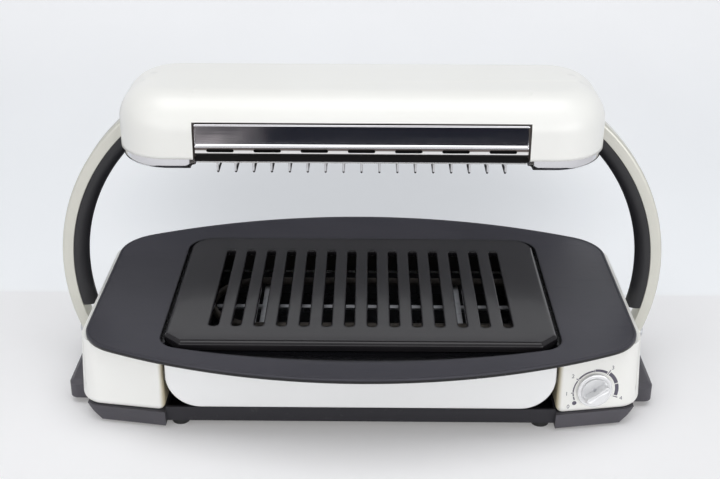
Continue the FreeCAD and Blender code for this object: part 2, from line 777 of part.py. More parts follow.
def lower_heater():
    legs = []
    start = "-window_half + tube_y + tube_inset"
    for side, sign in (("front", "-"), ("back", "")):
        legs.append(rod(f"lower_leg_{side}", "tube_radius", f"block_inner + tube_tail - ({start})",
                        start, f"{sign}tube_y", "tube_z", ALONG_X))
    bend = doc.addObject("Part::Torus", "lower_bend")
    bind(bend, Radius1="tube_y", Radius2="tube_radius")
    bend.Angle3 = 180
    place(bend, start, "0", "tube_z", FreeCAD.Rotation(Z, 90))
    keep("lower_heater", fuse("lower_heater_tube", *legs, bend))
    bar_top = "tube_z - tube_radius"
    bar = box("support_bar_flat", "-liner_half + sheet", "liner_half - sheet",
              "-support_half", "support_half", f"{bar_top} - support_sheet", bar_top)
    ties = [box(f"support_tie_{index}", f"{side} * tie_side - tie_half", f"{side} * tie_side + tie_half",
                "-tube_y - tie_half", "tube_y + tie_half", f"{bar_top} - support_sheet", bar_top)
            for index, side in enumerate(("-1", "1"))]
    keep("heater_support", fuse("heater_support_whole", bar, *ties))


def right_block_parts():
    terminal = box("terminal_body", "block_inner + terminal_inset", "block_inner + terminal_outer",
                   "-tube_y - terminal_reach", "tube_y + terminal_reach",
                   "tube_z - terminal_drop", "tube_z + terminal_rise")
    holes = [rod(f"terminal_hole_{index}", "tube_radius", "tube_tail - terminal_inset + 5",
                 "block_inner + terminal_inset - 0.5", f"{sign}tube_y", "tube_z", ALONG_X)
             for index, sign in enumerate(("-", ""))]
    keep("heater_terminal_block", cut("terminal_drilled", terminal, *holes))
    keep("terminal_post", box("terminal_post", "block_inner + post_inset", "block_inner + post_outer",
                              "-post_half", "post_half", "foot_height + strip_wall",
                              "tube_z - terminal_drop"))
    thermostat()
    socket()


def thermostat():
    seat = "-plastic_wall - thermostat_seat"
    low = f"{seat} - thermostat_length"
    case = on_face(stub("thermostat_case", "thermostat_radius", "thermostat_length"), low)
    neck = on_face(stub("thermostat_neck", "thermostat_neck", "neck_length"), f"{seat} - 0.5")
    bore = on_face(stub("thermostat_bore", "spindle_radius + pin_gap", "thermostat_length + 2"),
                   f"{low} + spindle_depth - 1")
    keep("thermostat", cut("thermostat_whole", fuse("thermostat_blank", case, neck), bore))
    plate = doc.addObject("Part::Box", "thermostat_plate")
    bind(plate, Length="2 * thermostat_radius", Width="knob_height - chassis_top + thermostat_radius",
         Height="bracket_sheet / 2")
    on_face(plate, seat)
    shift = FreeCAD.Vector(-number("thermostat_radius"), -number("knob_height - chassis_top"), 0)
    plate.Placement = plate.Placement.multiply(FreeCAD.Placement(shift, UPRIGHT))
    opening = on_face(stub("thermostat_opening", "thermostat_neck", "10"), f"{seat} - 3")
    keep("thermostat_bracket", cut("thermostat_bracket_open", plate, opening))


def socket():
    # The supply inlet, which stands on the chassis in a notch of the right end block's back.
    back = "(block_front - inlet_set_in)"
    top = "chassis_top + inlet_height"
    floor = f"({back} - inlet_deep + inlet_pin_length)"
    shell = box("inlet_case", "knob_side - inlet_half", "knob_side + inlet_half",
                f"{back} - inlet_deep", back, "chassis_top", top)
    room = box("inlet_room", "knob_side - inlet_half + inlet_wall", "knob_side + inlet_half - inlet_wall",
               floor, "block_front", "chassis_top + inlet_wall", f"{top} - inlet_wall")
    keep("power_inlet", cut("inlet_shell", shell, room))
    pins = [rod(f"inlet_pin_{index}", "inlet_pin_radius", "inlet_pin_length",
                f"knob_side + {sign} * inlet_pin_side", floor, "chassis_top + inlet_pin_rise", ALONG_Y)
            for index, sign in enumerate(("-1", "1"))]
    keep("inlet_pins", group("inlet_pin_pair", *pins))


def stub(name, radius, length):
    obj = doc.addObject("Part::Cylinder", name)
    return bind(obj, Radius=radius, Height=length)


def knob():
    body = new_body("knob_form")
    profile = new_sketch(body, "knob_profile", "XZ_Plane")
    gap = "knob_gap"
    draw_polygon(profile, [("0", gap), ("knob_radius", gap), ("knob_radius", "knob_skirt - knob_edge"),
                           ("knob_radius - knob_edge", "knob_skirt"), ("knob_disc + 0.6", "knob_skirt"),
                           ("knob_disc", "knob_skirt + knob_step"), ("0", "knob_skirt + knob_step")])
    turned = body.newObject("PartDesign::Revolution", "knob_turned")
    turned.Profile = profile
    turned.ReferenceAxis = (profile, ["V_Axis"])
    turned.Angle = 360
    doc.recompute()
    grip = new_sketch(body, "knob_grip", offset="knob_skirt")
    draw_rectangle(grip, "-knob_disc + knob_edge", "knob_disc - knob_edge", "-knob_bar / 2", "knob_bar / 2")
    pad(body, "knob_bar_pad", grip, "knob_depth - knob_skirt")
    top = number("knob_depth")
    fillet(body, "knob_bar_edge", "knob_bar_round", lambda edge: middle(edge).z > top - 0.1)
    hole = new_sketch(body, "knob_socket_plan", offset=gap)
    draw_circle(hole, "0", "0", "spindle_radius")
    pocket(body, "knob_bore", hole, "knob_socket", upward=True)
    turn = FreeCAD.Placement(FreeCAD.Vector(), FreeCAD.Rotation(Z, number("knob_off_angle")))
    body.Placement = face_frame().multiply(turn)
    keep("control_knob", body)
    sunk = "plastic_wall + thermostat_seat + thermostat_length - spindle_depth"
    spindle = stub("spindle", "spindle_radius", f"{sunk} + knob_socket + knob_gap")
    keep("knob_spindle", on_face(spindle, f"-({sunk})"))


def drawer():
    body = new_body("drawer_front_body")
    sketch = new_sketch(body, "drawer_outline", "XZ_Plane", "drawer_face - drawer_skin")
    draw_rectangle(sketch, "-drawer_half", "drawer_half", "drawer_low", "drawer_high")
    pad(body, "drawer_pad", sketch, "drawer_skin")
    low = number("drawer_low") + 1
    fillet(body, "drawer_corners", "drawer_corner",
           lambda edge: runs_back(edge) and middle(edge).z < low)
    face = -number("drawer_face")
    high = number("drawer_high") - 0.1
    fillet(body, "drawer_front_edge", "drawer_edge",
           lambda edge: abs(middle(edge).y - face) < 0.01 and middle(edge).z < high)
    keep("drawer_front", body)
    outer = box("tray_outer", "-tray_half", "tray_half", "-tray_front", "tray_back", "tray_low", "tray_high")
    outer = rounded("tray_outer_round", outer, "tray_corner", upright)
    room = box("tray_room", "-tray_half + sheet", "tray_half - sheet",
               "-tray_front + sheet", "tray_back - sheet", "tray_low + sheet", "tray_high + 1")
    room = rounded("tray_room_round", room, "tray_corner - sheet", upright)
    rim = box("tray_rim", "-tray_half - tray_flange", "tray_half + tray_flange", "-tray_front", "tray_back",
              "tray_high - sheet", "tray_high")
    lugs = [box(f"tray_lug_{index}", f"{sign} * lug_side - lug_half", f"{sign} * lug_side + lug_half",
                "-drawer_face + drawer_skin", "-tray_front + 1", "tray_high - lug_high", "tray_high")
            for index, sign in enumerate(("-1", "1"))]
    keep("drip_tray", cut("tray_shell", fuse("tray_blank", outer, rim, *lugs), room))
    for side, sign in (("left", -1), ("right", 1)):
        under = "tray_high - sheet - seat_gap"
        parts = []
        top = "tray_high + rail_rise"
        for bend, inner, low_z, high_z in (
                ("web", "block_inner - rail_sheet", f"{under} - rail_drop", top),
                ("shelf", "tray_half + rail_gap", f"{under} - rail_sheet", under),
                ("lip", "block_inner - rail_lip", f"{top} - rail_sheet", top)):
            low_x, high_x = ("-block_inner", f"-({inner})") if sign < 0 else (inner, "block_inner")
            parts.append(box(f"rail_{bend}_{side}", low_x, high_x, "-tray_back", "tray_back", low_z, high_z))
        keep(f"drawer_rail_{side}", fuse(f"drawer_rail_{side}_whole", *parts))


def arm_sweep(name, profile_points, low, high):
    # Turns a section, drawn at its distance from the arm's centre, between two heights of the arm.
    body = new_body(name)
    section = new_sketch(body, name + "_section")
    draw_polygon(section, profile_points)
    turned = body.newObject("PartDesign::Revolution", name + "_turned")
    turned.Profile = section
    turned.ReferenceAxis = (section, ["V_Axis"])
    turned.Midplane = True
    bind(turned, Angle=f"({high}) - ({low})")
    doc.recompute()
    tilt = number(f"(({high}) + ({low})) / 2")
    body.Placement = FreeCAD.Placement(FreeCAD.Vector(), FreeCAD.Rotation(Y, -tilt))
    bind(body, Placement__Base__x="arm_centre_side", Placement__Base__z="arm_centre_height")
    return body


def arms():
    low = "asin((pivot_height - arm_centre_height) / ((arm_outer + arm_parting) / 2)) / (1 deg)"
    high = "arm_top_angle"
    band = arm_sweep("band", [("arm_parting", "-arm_half"), ("arm_outer", "-arm_half"),
                              ("arm_outer", "arm_half"), ("arm_parting", "arm_half")], low, high)
    rim = number("arm_outer")

    def outer_edge(edge):
        return hasattr(edge.Curve, "Radius") and abs(edge.Curve.Radius - rim) < 0.01

    fillet(band, "band_round", "arm_edge", outer_edge)
    inside = box("band_end_cut", "arm_end_side - 60", "arm_end_side", "-2 * arm_half", "2 * arm_half",
                 "head_low", "head_high")
    eye = rod("band_eye", "eye_radius", "arm_eye_length", "pivot_reach + seat_gap", "0",
              "pivot_height", ALONG_X)
    bore = rod("band_bore", "pivot_radius + pin_gap", "30", "pivot_reach - 5", "0", "pivot_height", ALONG_X)
    room = rod("band_cap_room", "pivot_radius + cap_flange + 1", "20",
               "pivot_reach + seat_gap + arm_eye_length", "0", "pivot_height", ALONG_X)
    right = cut("band_whole", fuse("band_with_eye", cut("band_trimmed", band, inside), eye), bore, room)
    keep("arm_band_right", right)
    keep("arm_band_left", mirrored("band_left", right))
    arm_grips()
    cable = doc.addObject("Part::Torus", "cable")
    bind(cable, Radius1="arm_parting - cable_radius", Radius2="cable_radius")
    cable.Angle3 = number("cable_span")
    swing = FreeCAD.Rotation(Y, number("cable_tilt")).multiply(FreeCAD.Rotation(X, 90))
    place(cable, "arm_centre_side", "0", "arm_centre_height", swing)
    keep("arm_cable", cable)


def arm_grips():
    # A half-round grip inside each band, with a channel for the cable behind it.
    grip = new_body("grip")
    section = new_sketch(grip, "grip_section")
    shoulder = "arm_inner + arm_half"
    centre, half, outer = number(shoulder), number("arm_half"), number("arm_parting")
    arc = Part.ArcOfCircle(Part.Circle(FreeCAD.Vector(centre, 0, 0), Z, half), math.pi / 2, 3 * math.pi / 2)
    corners = [(centre, -half), (outer, -half), (outer, half), (centre, half)]
    corners = [FreeCAD.Vector(x, y, 0) for x, y in corners]
    curves = [section.addGeometry(arc)]
    for index in range(3):
        curves.append(section.addGeometry(Part.LineSegment(corners[index], corners[index + 1])))
    for one, other in ((0, 1), (1, 2), (2, 3), (3, 0)):
        section.addConstraint(Sketcher.Constraint("Coincident", curves[one], 2, curves[other], 1))
    fix_point(section, curves[0], 3, shoulder, "0")
    fix_point(section, curves[1], 1, shoulder, "-arm_half")
    fix_point(section, curves[2], 1, "arm_parting", "-arm_half")
    fix_point(section, curves[2], 2, "arm_parting", "arm_half")
    turned = grip.newObject("PartDesign::Revolution", "grip_turned")
    turned.Profile = section
    turned.ReferenceAxis = (section, ["V_Axis"])
    turned.Midplane = True
    bind(turned, Angle="grip_span")
    doc.recompute()
    groove = new_sketch(grip, "grip_groove")
    draw_rectangle(groove, "arm_parting - 2 * cable_radius - seat_gap", "arm_parting + 1",
                   "-cable_radius - seat_gap", "cable_radius + seat_gap")
    hollow = grip.newObject("PartDesign::Groove", "grip_channel")
    hollow.Profile = groove
    hollow.ReferenceAxis = (groove, ["V_Axis"])
    hollow.Midplane = True
    bind(hollow, Angle="grip_span + 2")
    doc.recompute()
    tilt = FreeCAD.Rotation(Y, -number("grip_tilt"))
    place(grip, "arm_centre_side", "0", "arm_centre_height", tilt)
    below = box("grip_low_cut", "arm_centre_side", "arm_centre_side + arm_outer + 10",
                "-2 * arm_half", "2 * arm_half", "grip_low - 60", "grip_low")
    above = box("grip_high_cut", "arm_centre_side", "arm_centre_side + arm_outer",
                "-2 * arm_half", "2 * arm_half", "grip_high", "grip_high + 60")
    whole = cut("grip_whole", grip, below, above)
    keep("arm_grip_right", whole)
    keep("arm_grip_left", mirrored("grip_left", whole))


def cover_form(name, inset, low):
    body = new_body(name)
    plan = new_sketch(body, name + "_plan", offset=low)
    half, deep = f"(head_half - ({inset}))", f"(head_deep - ({inset}))"
    draw_rectangle(plan, f"-{half}", half, f"-{deep}", deep)
    pad(body, name + "_pad", plan, f"head_high - ({inset}) - ({low})")
    fillet(body, name + "_corners", f"head_corner - ({inset})", upright)
    top = number(f"head_high - ({inset})")
    fillet(body, name + "_round", f"head_round - ({inset})", lambda edge: abs(middle(edge).z - top) < 0.01)
    return body


def head_cover():
    outside = cover_form("cover_outside", "0", "head_low")
    inside = cover_form("cover_inside", "plastic_wall", "head_low - 1")
    notch = box("cover_notch_box", "-notch_half", "notch_half", "-head_deep - 1", "-head_deep + 9",
                "head_low - 1", "notch_high")
    top = number("notch_high")
    notch = rounded("cover_notch", notch, "3",
                    lambda edge: runs_back(edge) and middle(edge).z > top - 0.1)
    reach = "sqrt(arm_outer ^ 2 - (head_half - arm_centre_side - plastic_wall) ^ 2)"
    slots = []
    for side, low_x, high_x in (("left", "-head_half - 1", "-head_half + head_corner"),
                                ("right", "head_half - head_corner", "head_half + 1")):
        slots.append(box(f"cover_slot_{side}", low_x, high_x, "-arm_half", "arm_half", "head_low - 1",
                         f"arm_centre_height + {reach} + 0.5"))
    keep("head_cover", cut("cover_whole", outside, inside, notch, *slots))


def pan_form(name, inset, low, high):
    # The pan's outline with its lower edge rounded, drawn in by inset.
    half, deep = f"(head_half - pan_inset - ({inset}))", f"(head_deep - pan_inset - ({inset}))"
    slab = box(name + "_slab", f"-{half}", half, f"-{deep}", deep, low, high)
    slab = rounded(name + "_plan", slab, f"head_corner - pan_inset - ({inset})", upright)
    bottom = number(low)
    return rounded(name, slab, f"pan_edge - ({inset})", lambda edge: abs(middle(edge).z - bottom) < 0.01)


def head_pan():
    outer = pan_form("pan_outer", "0", "pan_low", "head_low")
    inner = pan_form("pan_inner", "sheet", "pan_low + sheet", "head_low + 1")
    opening = box("pan_opening", "-notch_half - 1", "notch_half + 1", "-head_deep - 1", "reflector_lip + 0.4",
                  "pan_low - 1", "head_low + 1")
    slots = [box(f"pan_slot_{side}", low_x, high_x, "-arm_half", "arm_half", "pan_low - 1", "head_low + 1")
             for side, low_x, high_x in (("left", "-head_half", "-arm_end_side"),
                                         ("right", "arm_end_side", "head_half"))]
    keep("head_pan", cut("pan_whole", outer, inner, opening, *slots))


def front_panel():
    body = new_body("panel_body")
    side = new_sketch(body, "panel_side", "YZ_Plane")
    face = "-panel_front"
    flange = "-reflector_lip + 0.4"
    crest = f"{face} - bead_depth"
    top = "notch_high - 2 * seat_gap"
    draw_polygon(side, [(face, top), (face, "panel_bead + bead_depth"), (crest, "panel_bead + bead_half"),
                        (crest, "panel_bead - bead_half"), (face, "panel_bead - bead_depth"),
                        (f"{face} + sheet", "panel_low"), (flange, "panel_low"),
                        (flange, "panel_low + sheet"), (f"{face} + 2 * sheet", "panel_low + sheet"),
                        (f"{face} + sheet", "panel_bead - sheet"), (f"{face} + sheet", top)])
    pad(body, "panel_pad", side, "2 * panel_half", symmetric=True)
    vent_plan = new_sketch(body, "vent_plan", "XZ_Plane", "panel_front - 5")
    first = f"-vent_pitch * {(VENTS - 1) / 2}"
    reach = "(vent_length - vent_high) / 2"
    draw_slot(vent_plan, (f"{first} - {reach}", "vent_level"), (f"{first} + {reach}", "vent_level"),
              "vent_high / 2")
    vent = pocket(body, "vent", vent_plan, "12", upward=True)
    repeat_along(body, "vents", vent, vent_plan, "H_Axis", f"vent_pitch * {VENTS - 1}", VENTS)
    keep("head_front_panel", body)


def trough(name, points, half):
    # A bent sheet along X whose side view is the closed outline points.
    body = new_body(name)
    side = new_sketch(body, name + "_side", "YZ_Plane")
    draw_polygon(side, points)
    pad(body, name + "_pad", side, f"2 * ({half})", symmetric=True)
    return body


def head_inside():
    lip, low, roof, half = "reflector_lip", "reflector_low", "reflector_roof", "reflector_roof_half"
    throat = "reflector_lip - 4"
    t = "sheet"
    points = [(f"-({lip})", low), (f"-({throat})", low), (f"-({half})", roof), (half, roof),
              (throat, low), (lip, low), (lip, f"{low} + {t}"), (f"{throat} + {t}", f"{low} + {t}"),
              (f"{half} + {t}", f"{roof} + {t}"), (f"-({half}) - {t}", f"{roof} + {t}"),
              (f"-({throat}) - {t}", f"{low} + {t}"), (f"-({lip})", f"{low} + {t}")]
    keep("head_reflector", trough("reflector", points, "panel_half - 1"))
    wall = "reflector_lip - 0.4"
    high = "beam_level - beam_lip"
    points = [(f"-({wall})", f"{low} + {t}"), (f"-({wall}) + {t}", f"{low} + {t}"),
              (f"-({wall}) + {t}", f"{high} - {t}"), (f"{wall} - {t}", f"{high} - {t}"),
              (f"{wall} - {t}", f"{low} + {t}"), (wall, f"{low} + {t}"), (wall, high), (f"-({wall})", high)]
    shield = trough("heat_shield", points, "panel_half + 1")
    keep("head_heat_shield", shield)
    heaters_above()
    guard()
    beam()


def heaters_above():
    for side, sign in (("left", -1), ("right", 1)):
        low_x = "-panel_half" if sign < 0 else "panel_half - holder_sheet"
        plate = box(f"holder_{side}_plate", low_x, f"{low_x} + holder_sheet",
                    "-reflector_lip + holder_inset", "reflector_lip - holder_inset",
                    "reflector_low + sheet", "beam_level - beam_lip - sheet")
        holes = [rod(f"holder_{side}_hole_{index}", "heater_radius", "6", f"{low_x} - 2",
                     f"{end}upper_heater_y", "upper_heater_z", ALONG_X)
                 for index, end in enumerate(("-", ""))]
        keep(f"heater_holder_{side}", cut(f"heater_holder_{side}_open", plate, *holes))
    caps = []
    for side, sign in (("front", "-"), ("back", "")):
        y = f"{sign}upper_heater_y"
        tube = rod(f"upper_tube_{side}", "heater_radius", "2 * panel_half + 2 * heater_tail",
                   "-panel_half - heater_tail", y, "upper_heater_z", ALONG_X)
        keep(f"upper_heater_{side}", tube)
        seat_start = "panel_half + heater_tail - end_cap_seat"
        for end, cap_x, seat_x in (
                ("left", "-panel_half - heater_tail + end_cap_seat - end_cap_length",
                 "-panel_half - heater_tail"),
                ("right", seat_start, f"{seat_start} - 1")):
            name = f"cap_{side}_{end}"
            cap = rod(name + "_body", "heater_radius + end_cap_wall", "end_cap_length", cap_x, y,
                      "upper_heater_z", ALONG_X)
            seat = rod(name + "_seat", "heater_radius", "end_cap_seat + 1", seat_x, y,
                       "upper_heater_z", ALONG_X)
            caps.append(cut(name, cap, seat))
    keep("heater_end_caps", group("heater_end_cap_set", *caps))


def beam():
    # The folded strip across the head that carries the weight to both arms.
    high = "beam_level + sheet"
    parts = [box("beam_top", "-arm_end_side", "arm_end_side", "-beam_half", "beam_half", "beam_level", high)]
    for side, low_y, high_y in (("front", "-beam_half", "-beam_half + sheet"),
                                ("back", "beam_half - sheet", "beam_half")):
        parts.append(box(f"beam_lip_{side}", "-arm_end_side + beam_lip_end", "arm_end_side - beam_lip_end",
                         low_y, high_y, "beam_level - beam_lip", high))
    for side, low_x, high_x in (("left", "-arm_end_side", "-arm_end_side + beam_end_sheet"),
                                ("right", "arm_end_side - beam_end_sheet", "arm_end_side")):
        parts.append(box(f"beam_end_{side}", low_x, high_x, "-beam_half", "beam_half",
                         "head_low + beam_drop", high))
    keep("head_beam", fuse("beam_whole", *parts))
    keep("thermal_cutoff", box("cutoff_case", "cutoff_side - cutoff_half", "cutoff_side + cutoff_half",
                               "-cutoff_deep", "cutoff_deep", "beam_level - beam_lip",
                               "beam_level - beam_lip + cutoff_high"))


def guard():
    wires = [guard_wire(index) for index in range(WIRES)]
    half = f"wire_pitch * {(WIRES - 1) / 2} + cross_over"
    for index, sign in enumerate(("-", "")):
        wires.append(rod(f"guard_cross_{index}", "wire_radius", f"2 * ({half})", f"-({half})",
                         f"{sign}cross_side", "wire_level + 2 * wire_radius", ALONG_X))
    keep("guard_grille", group("guard_whole", *wires))


def guard_wire(index):
    # One wire of the guard: a straight run with a mitred bend and a short stub at both ends.
    name = f"guard_wire_{index}"
    side = number(f"wire_pitch * {index - (WIRES - 1) / 2}")
    reach, bend, level, top = map(number, ("wire_reach", "wire_bend", "wire_level", "reflector_low"))
    half = [(reach, top), (reach, level + bend), (reach - bend, level)]
    points = [(-y, z) for y, z in half] + half[::-1]
    spine = doc.addObject("Part::Polygon", name + "_path")
    spine.Nodes = [FreeCAD.Vector(side, y, z) for y, z in points]
    section = doc.addObject("Part::Circle", name + "_section")
    bind(section, Radius="wire_radius")
    section.Placement.Base = spine.Nodes[0]
    obj = doc.addObject("Part::Sweep", name)
    obj.Sections = [section]
    obj.Spine = (spine, [f"Edge{edge}" for edge in range(1, len(points))])
    obj.Solid = True
    obj.Transition = "Right corner"
    return obj


def check_and_export():
    doc.recompute()
    for obj in doc.Objects:
        state = [word for word in obj.State if word in ("Invalid", "Error")]
        assert not state, f"{obj.Label} is {state}"
    os.makedirs("parts", exist_ok=True)
    for node, obj in PIECES.items():
        assert not obj.Shape.isNull() and obj.Shape.isValid(), f"{node} has a bad shape"
        assert obj.Shape.Solids, f"{node} has no solid"
        obj.Shape.exportStep(f"parts/{node}.step")
        print(node, len(obj.Shape.Solids), round(obj.Shape.Volume), obj.Shape.BoundBox)


end_blocks()
base_chassis()
rubber_feet()
rear_panel()
pivots()
surround_plate()
grill_plate()
heater_liner()
lower_heater()
right_block_parts()
knob()
drawer()
arms()
head_cover()
head_pan()
front_panel()
head_inside()
check_and_export()
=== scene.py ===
import json
import math

import bmesh
import bpy
import numpy as np
from mathutils import Matrix, Vector


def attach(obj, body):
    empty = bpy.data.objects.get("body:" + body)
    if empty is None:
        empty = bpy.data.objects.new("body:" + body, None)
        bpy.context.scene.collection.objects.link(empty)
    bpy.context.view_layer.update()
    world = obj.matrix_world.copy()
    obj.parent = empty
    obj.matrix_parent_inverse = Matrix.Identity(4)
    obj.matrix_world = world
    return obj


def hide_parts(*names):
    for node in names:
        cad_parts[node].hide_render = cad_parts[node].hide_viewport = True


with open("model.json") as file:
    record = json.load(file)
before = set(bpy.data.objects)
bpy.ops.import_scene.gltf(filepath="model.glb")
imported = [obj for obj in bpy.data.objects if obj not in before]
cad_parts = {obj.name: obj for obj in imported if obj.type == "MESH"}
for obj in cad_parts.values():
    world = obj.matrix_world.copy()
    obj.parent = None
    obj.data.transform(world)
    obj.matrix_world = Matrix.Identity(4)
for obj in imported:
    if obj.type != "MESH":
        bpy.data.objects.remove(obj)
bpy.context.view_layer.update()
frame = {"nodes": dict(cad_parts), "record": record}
cadNodes = frame["nodes"]
mm = 0.001
print("frame loaded:", len(cadNodes), "CAD pieces")


class Wire:
    # An output socket; sums on wires add Math nodes to its material.
    def __init__(self, paint, socket):
        self.paint = paint
        self.socket = socket

    def calc(self, operation, *values):
        return self.paint.node("ShaderNodeMath", {"operation": operation}, dict(enumerate(values)))

    def __add__(self, other):
        return self.calc("ADD", self, other)

    def __radd__(self, other):
        return self.calc("ADD", other, self)

    def __sub__(self, other):
        return self.calc("SUBTRACT", self, other)

    def __rsub__(self, other):
        return self.calc("SUBTRACT", other, self)

    def __mul__(self, other):
        return self.calc("MULTIPLY", self, other)

    def __rmul__(self, other):
        return self.calc("MULTIPLY", other, self)

    def __truediv__(self, other):
        return self.calc("DIVIDE", self, other)

    def __abs__(self):
        return self.calc("ABSOLUTE", self)

    def between(self, low, high):
        # 0 below low, 1 above high, smooth in between
        return self.paint.node("ShaderNodeMapRange", {"interpolation_type": "SMOOTHSTEP"},
                               {"Value": self, "From Min": low, "From Max": high})


class Paint:
    # One material: a Principled shader and the nodes that feed it.
    def __init__(self, name):
        self.material = bpy.data.materials.new(name)
        self.material.use_nodes = True
        self.tree = self.material.node_tree
        self.shader = self.tree.nodes["Principled BSDF"]
        self.place = self.node("ShaderNodeTexCoord", out="Object")

    def node(self, kind, settings=None, inputs=None, out=0):
        made = self.tree.nodes.new(kind)
        for key, value in (settings or {}).items():
            setattr(made, key, value)
        for key, value in (inputs or {}).items():
            self.feed(made.inputs[key], value)
        return Wire(self, made.outputs[out])

    def feed(self, socket, value):
        if isinstance(value, Wire):
            self.tree.links.new(value.socket, socket)
        else:
            socket.default_value = value

    def stretched(self, x, y, z):
        return self.node("ShaderNodeMapping", None, {"Vector": self.place, "Scale": (x, y, z)})

    def noise(self, scale, detail=3.0, rough=0.5, place=None):
        return self.node("ShaderNodeTexNoise", None, {"Vector": place or self.place, "Scale": scale,
                                                      "Detail": detail, "Roughness": rough})

    def specks(self, scale, place=None):
        return self.node("ShaderNodeTexVoronoi", None, {"Vector": place or self.place, "Scale": scale})

    def blend(self, factor, first, second):
        made = self.node("ShaderNodeMix", {"data_type": "RGBA"}, {"Factor": factor}, out=2)
        for index, colour in ((6, first), (7, second)):
            self.feed(made.socket.node.inputs[index], colour if isinstance(colour, Wire) else (*colour, 1))
        return made

    def axis(self, name):
        return self.node("ShaderNodeSeparateXYZ", None, {"Vector": self.place}, out=name)

    def bump(self, height, strength, distance):
        normal = self.node("ShaderNodeBump", None, {"Height": height, "Strength": strength,
                                                    "Distance": distance})
        self.feed(self.shader.inputs["Normal"], normal)

    def use(self, **values):
        for key, value in values.items():
            self.feed(self.shader.inputs[key.replace("_", " ")], value)
        return self.material


def plainFinish(name, cloud, tones, rough, grain=(), soft=(), stretch=(), **plain):
    # two tones and a gloss that follow one cloud of noise, over a fine grain (scale, detail, strength, distance)
    paint = Paint(name)
    mask = paint.noise(*cloud, paint.stretched(*stretch) if stretch else None)
    if grain:
        scale, detail, strength, distance = grain
        paint.bump(paint.noise(scale, detail), strength, distance)
    tone = paint.blend(mask.between(*soft) if soft else mask, *tones)
    return paint.use(Base_Color=tone, Roughness=rough[0] + mask * rough[1], **plain)


def flakeLacquer(name, flakes, cloud, grain, strength, tones, share, rough, coat):
    # clear lacquer over metal flake
    paint = Paint(name)
    flake, cloud = paint.specks(flakes), paint.noise(*cloud)
    paint.bump(paint.noise(grain, 2), strength, 0.0002)
    return paint.use(Base_Color=paint.blend(flake * 0.5 + cloud * share, *tones), Metallic=0.45,
                     Roughness=rough + cloud * 0.1, Coat_Weight=coat[0], Coat_Roughness=coat[1])


# two of these tones are painted shade: a dark brown in the gap round the front panel, and a warm dark on the
# blocks' sides that face the drawer
ivory = {"light": (0.90, 0.895, 0.86), "dark": (0.875, 0.868, 0.828), "warmShade": (0.66, 0.58, 0.40),
         "gapShadow": (0.035, 0.026, 0.022), "gapShadowX": (0.1412, 0.1415), "gapShadowY": (-0.056, -0.054),
         "gapShadowZ": (0.2677, 0.2680), "warmShadeX": (0.1715, 0.1765)}


def ivoryPlastic(name, mark="", paintedLight=0.0):
    # moulded plastic, smooth to the eye, with a very faint flow in its colour and gloss
    paint = Paint(name)
    cloud = paint.noise(6, 3)
    flow = paint.noise(14, 2, 0.5, paint.stretched(0.4, 1, 1))
    paint.bump(flow, 0.03, 0.0006)
    # a lighter copy is painted light: both tones raised to stand in for more light
    light, dark = (tuple(channel + paintedLight for channel in ivory[key]) for key in ("light", "dark"))
    tone = paint.blend(cloud.between(0.3, 0.7), light, dark)
    if mark == "gapShadowed edge":
        # painted shadow: the cut edge round the front panel is painted dark brown, as the shadow in the gap there
        edge = 1 - abs(paint.axis("X")).between(*ivory["gapShadowX"])
        edge = edge * (1 - paint.axis("Z").between(*ivory["gapShadowZ"]))
        tone = paint.blend(edge * (1 - paint.axis("Y").between(*ivory["gapShadowY"])), tone, ivory["gapShadow"])
    if mark == "warmShade side":
        # painted warm shade where the blocks face the drawer
        tone = paint.blend(1 - abs(paint.axis("X")).between(*ivory["warmShadeX"]), tone, ivory["warmShade"])
    return paint.use(Base_Color=tone, Roughness=0.3 + flow * 0.04, Coat_Weight=0.15, Coat_Roughness=0.12)


# the well's tone is painted shade
charcoal = {"tones": ((0.035, 0.034, 0.045), (0.044, 0.042, 0.054)), "fleck": (0.10, 0.10, 0.11),
            "paintedShade": (0.003, 0.003, 0.004), "wellZ": (0.0822, 0.08342)}


def darkCoat():
    # non-stick coat of the surround: charcoal with a fine sprayed grain and a few paler flecks
    paint = Paint("darkCoat")
    grain = paint.noise(1400, 2)
    cloud = paint.noise(12, 4)
    fleck = 1 - paint.specks(1100).between(0.05, 0.16)
    wipe = paint.noise(26, 5, 0.6, paint.stretched(1, 5, 1)).between(0.5, 0.8)
    # painted shade: darker down in the well, and glossier there
    well = 1 - paint.axis("Z").between(*charcoal["wellZ"])
    paint.bump(grain + paint.noise(420, 2), 0.2, 0.0003)
    base = paint.blend(fleck * 0.3, paint.blend(cloud.between(0.3, 0.7), *charcoal["tones"]), charcoal["fleck"])
    return paint.use(Base_Color=paint.blend(well, base, charcoal["paintedShade"]),
                     Roughness=0.4 + cloud * 0.06 + wipe * 0.06 - well * 0.16, Specular_IOR_Level=0.4)


def blackGrillCoat():
    # glossy enamel-like coat with a slight orange peel
    paint = Paint("blackGrillCoat")
    cloud = paint.noise(14, 4)
    wipe = paint.noise(40, 5, 0.6, paint.stretched(1, 4, 1)).between(0.5, 0.8)
    paint.bump(paint.noise(300, 2), 0.03, 0.0003)
    tone = paint.blend(cloud.between(0.3, 0.7), (0.012, 0.011, 0.013), (0.018, 0.016, 0.018))
    return paint.use(Base_Color=tone, Roughness=0.17 + wipe * 0.07, Specular_IOR_Level=0.32,
                     Coat_Weight=0.12, Coat_Roughness=0.06)


def polishedSteel():
    # polished sheet with faint rolling lines and smudges
    paint = Paint("polishedSteel")
    cloud = paint.noise(16, 4)
    lines = paint.noise(240, 3, 0.6, paint.stretched(0.05, 1, 1))
    smudge = paint.noise(34, 5, 0.6).between(0.5, 0.78)
    paint.bump(lines + paint.noise(5, 2) * 4, 0.02, 0.0006)
    return paint.use(Base_Color=paint.blend(cloud, (0.72, 0.72, 0.74), (0.64, 0.63, 0.65)), Metallic=1.0,
                     Roughness=0.045 + lines * 0.03 + smudge * 0.05)
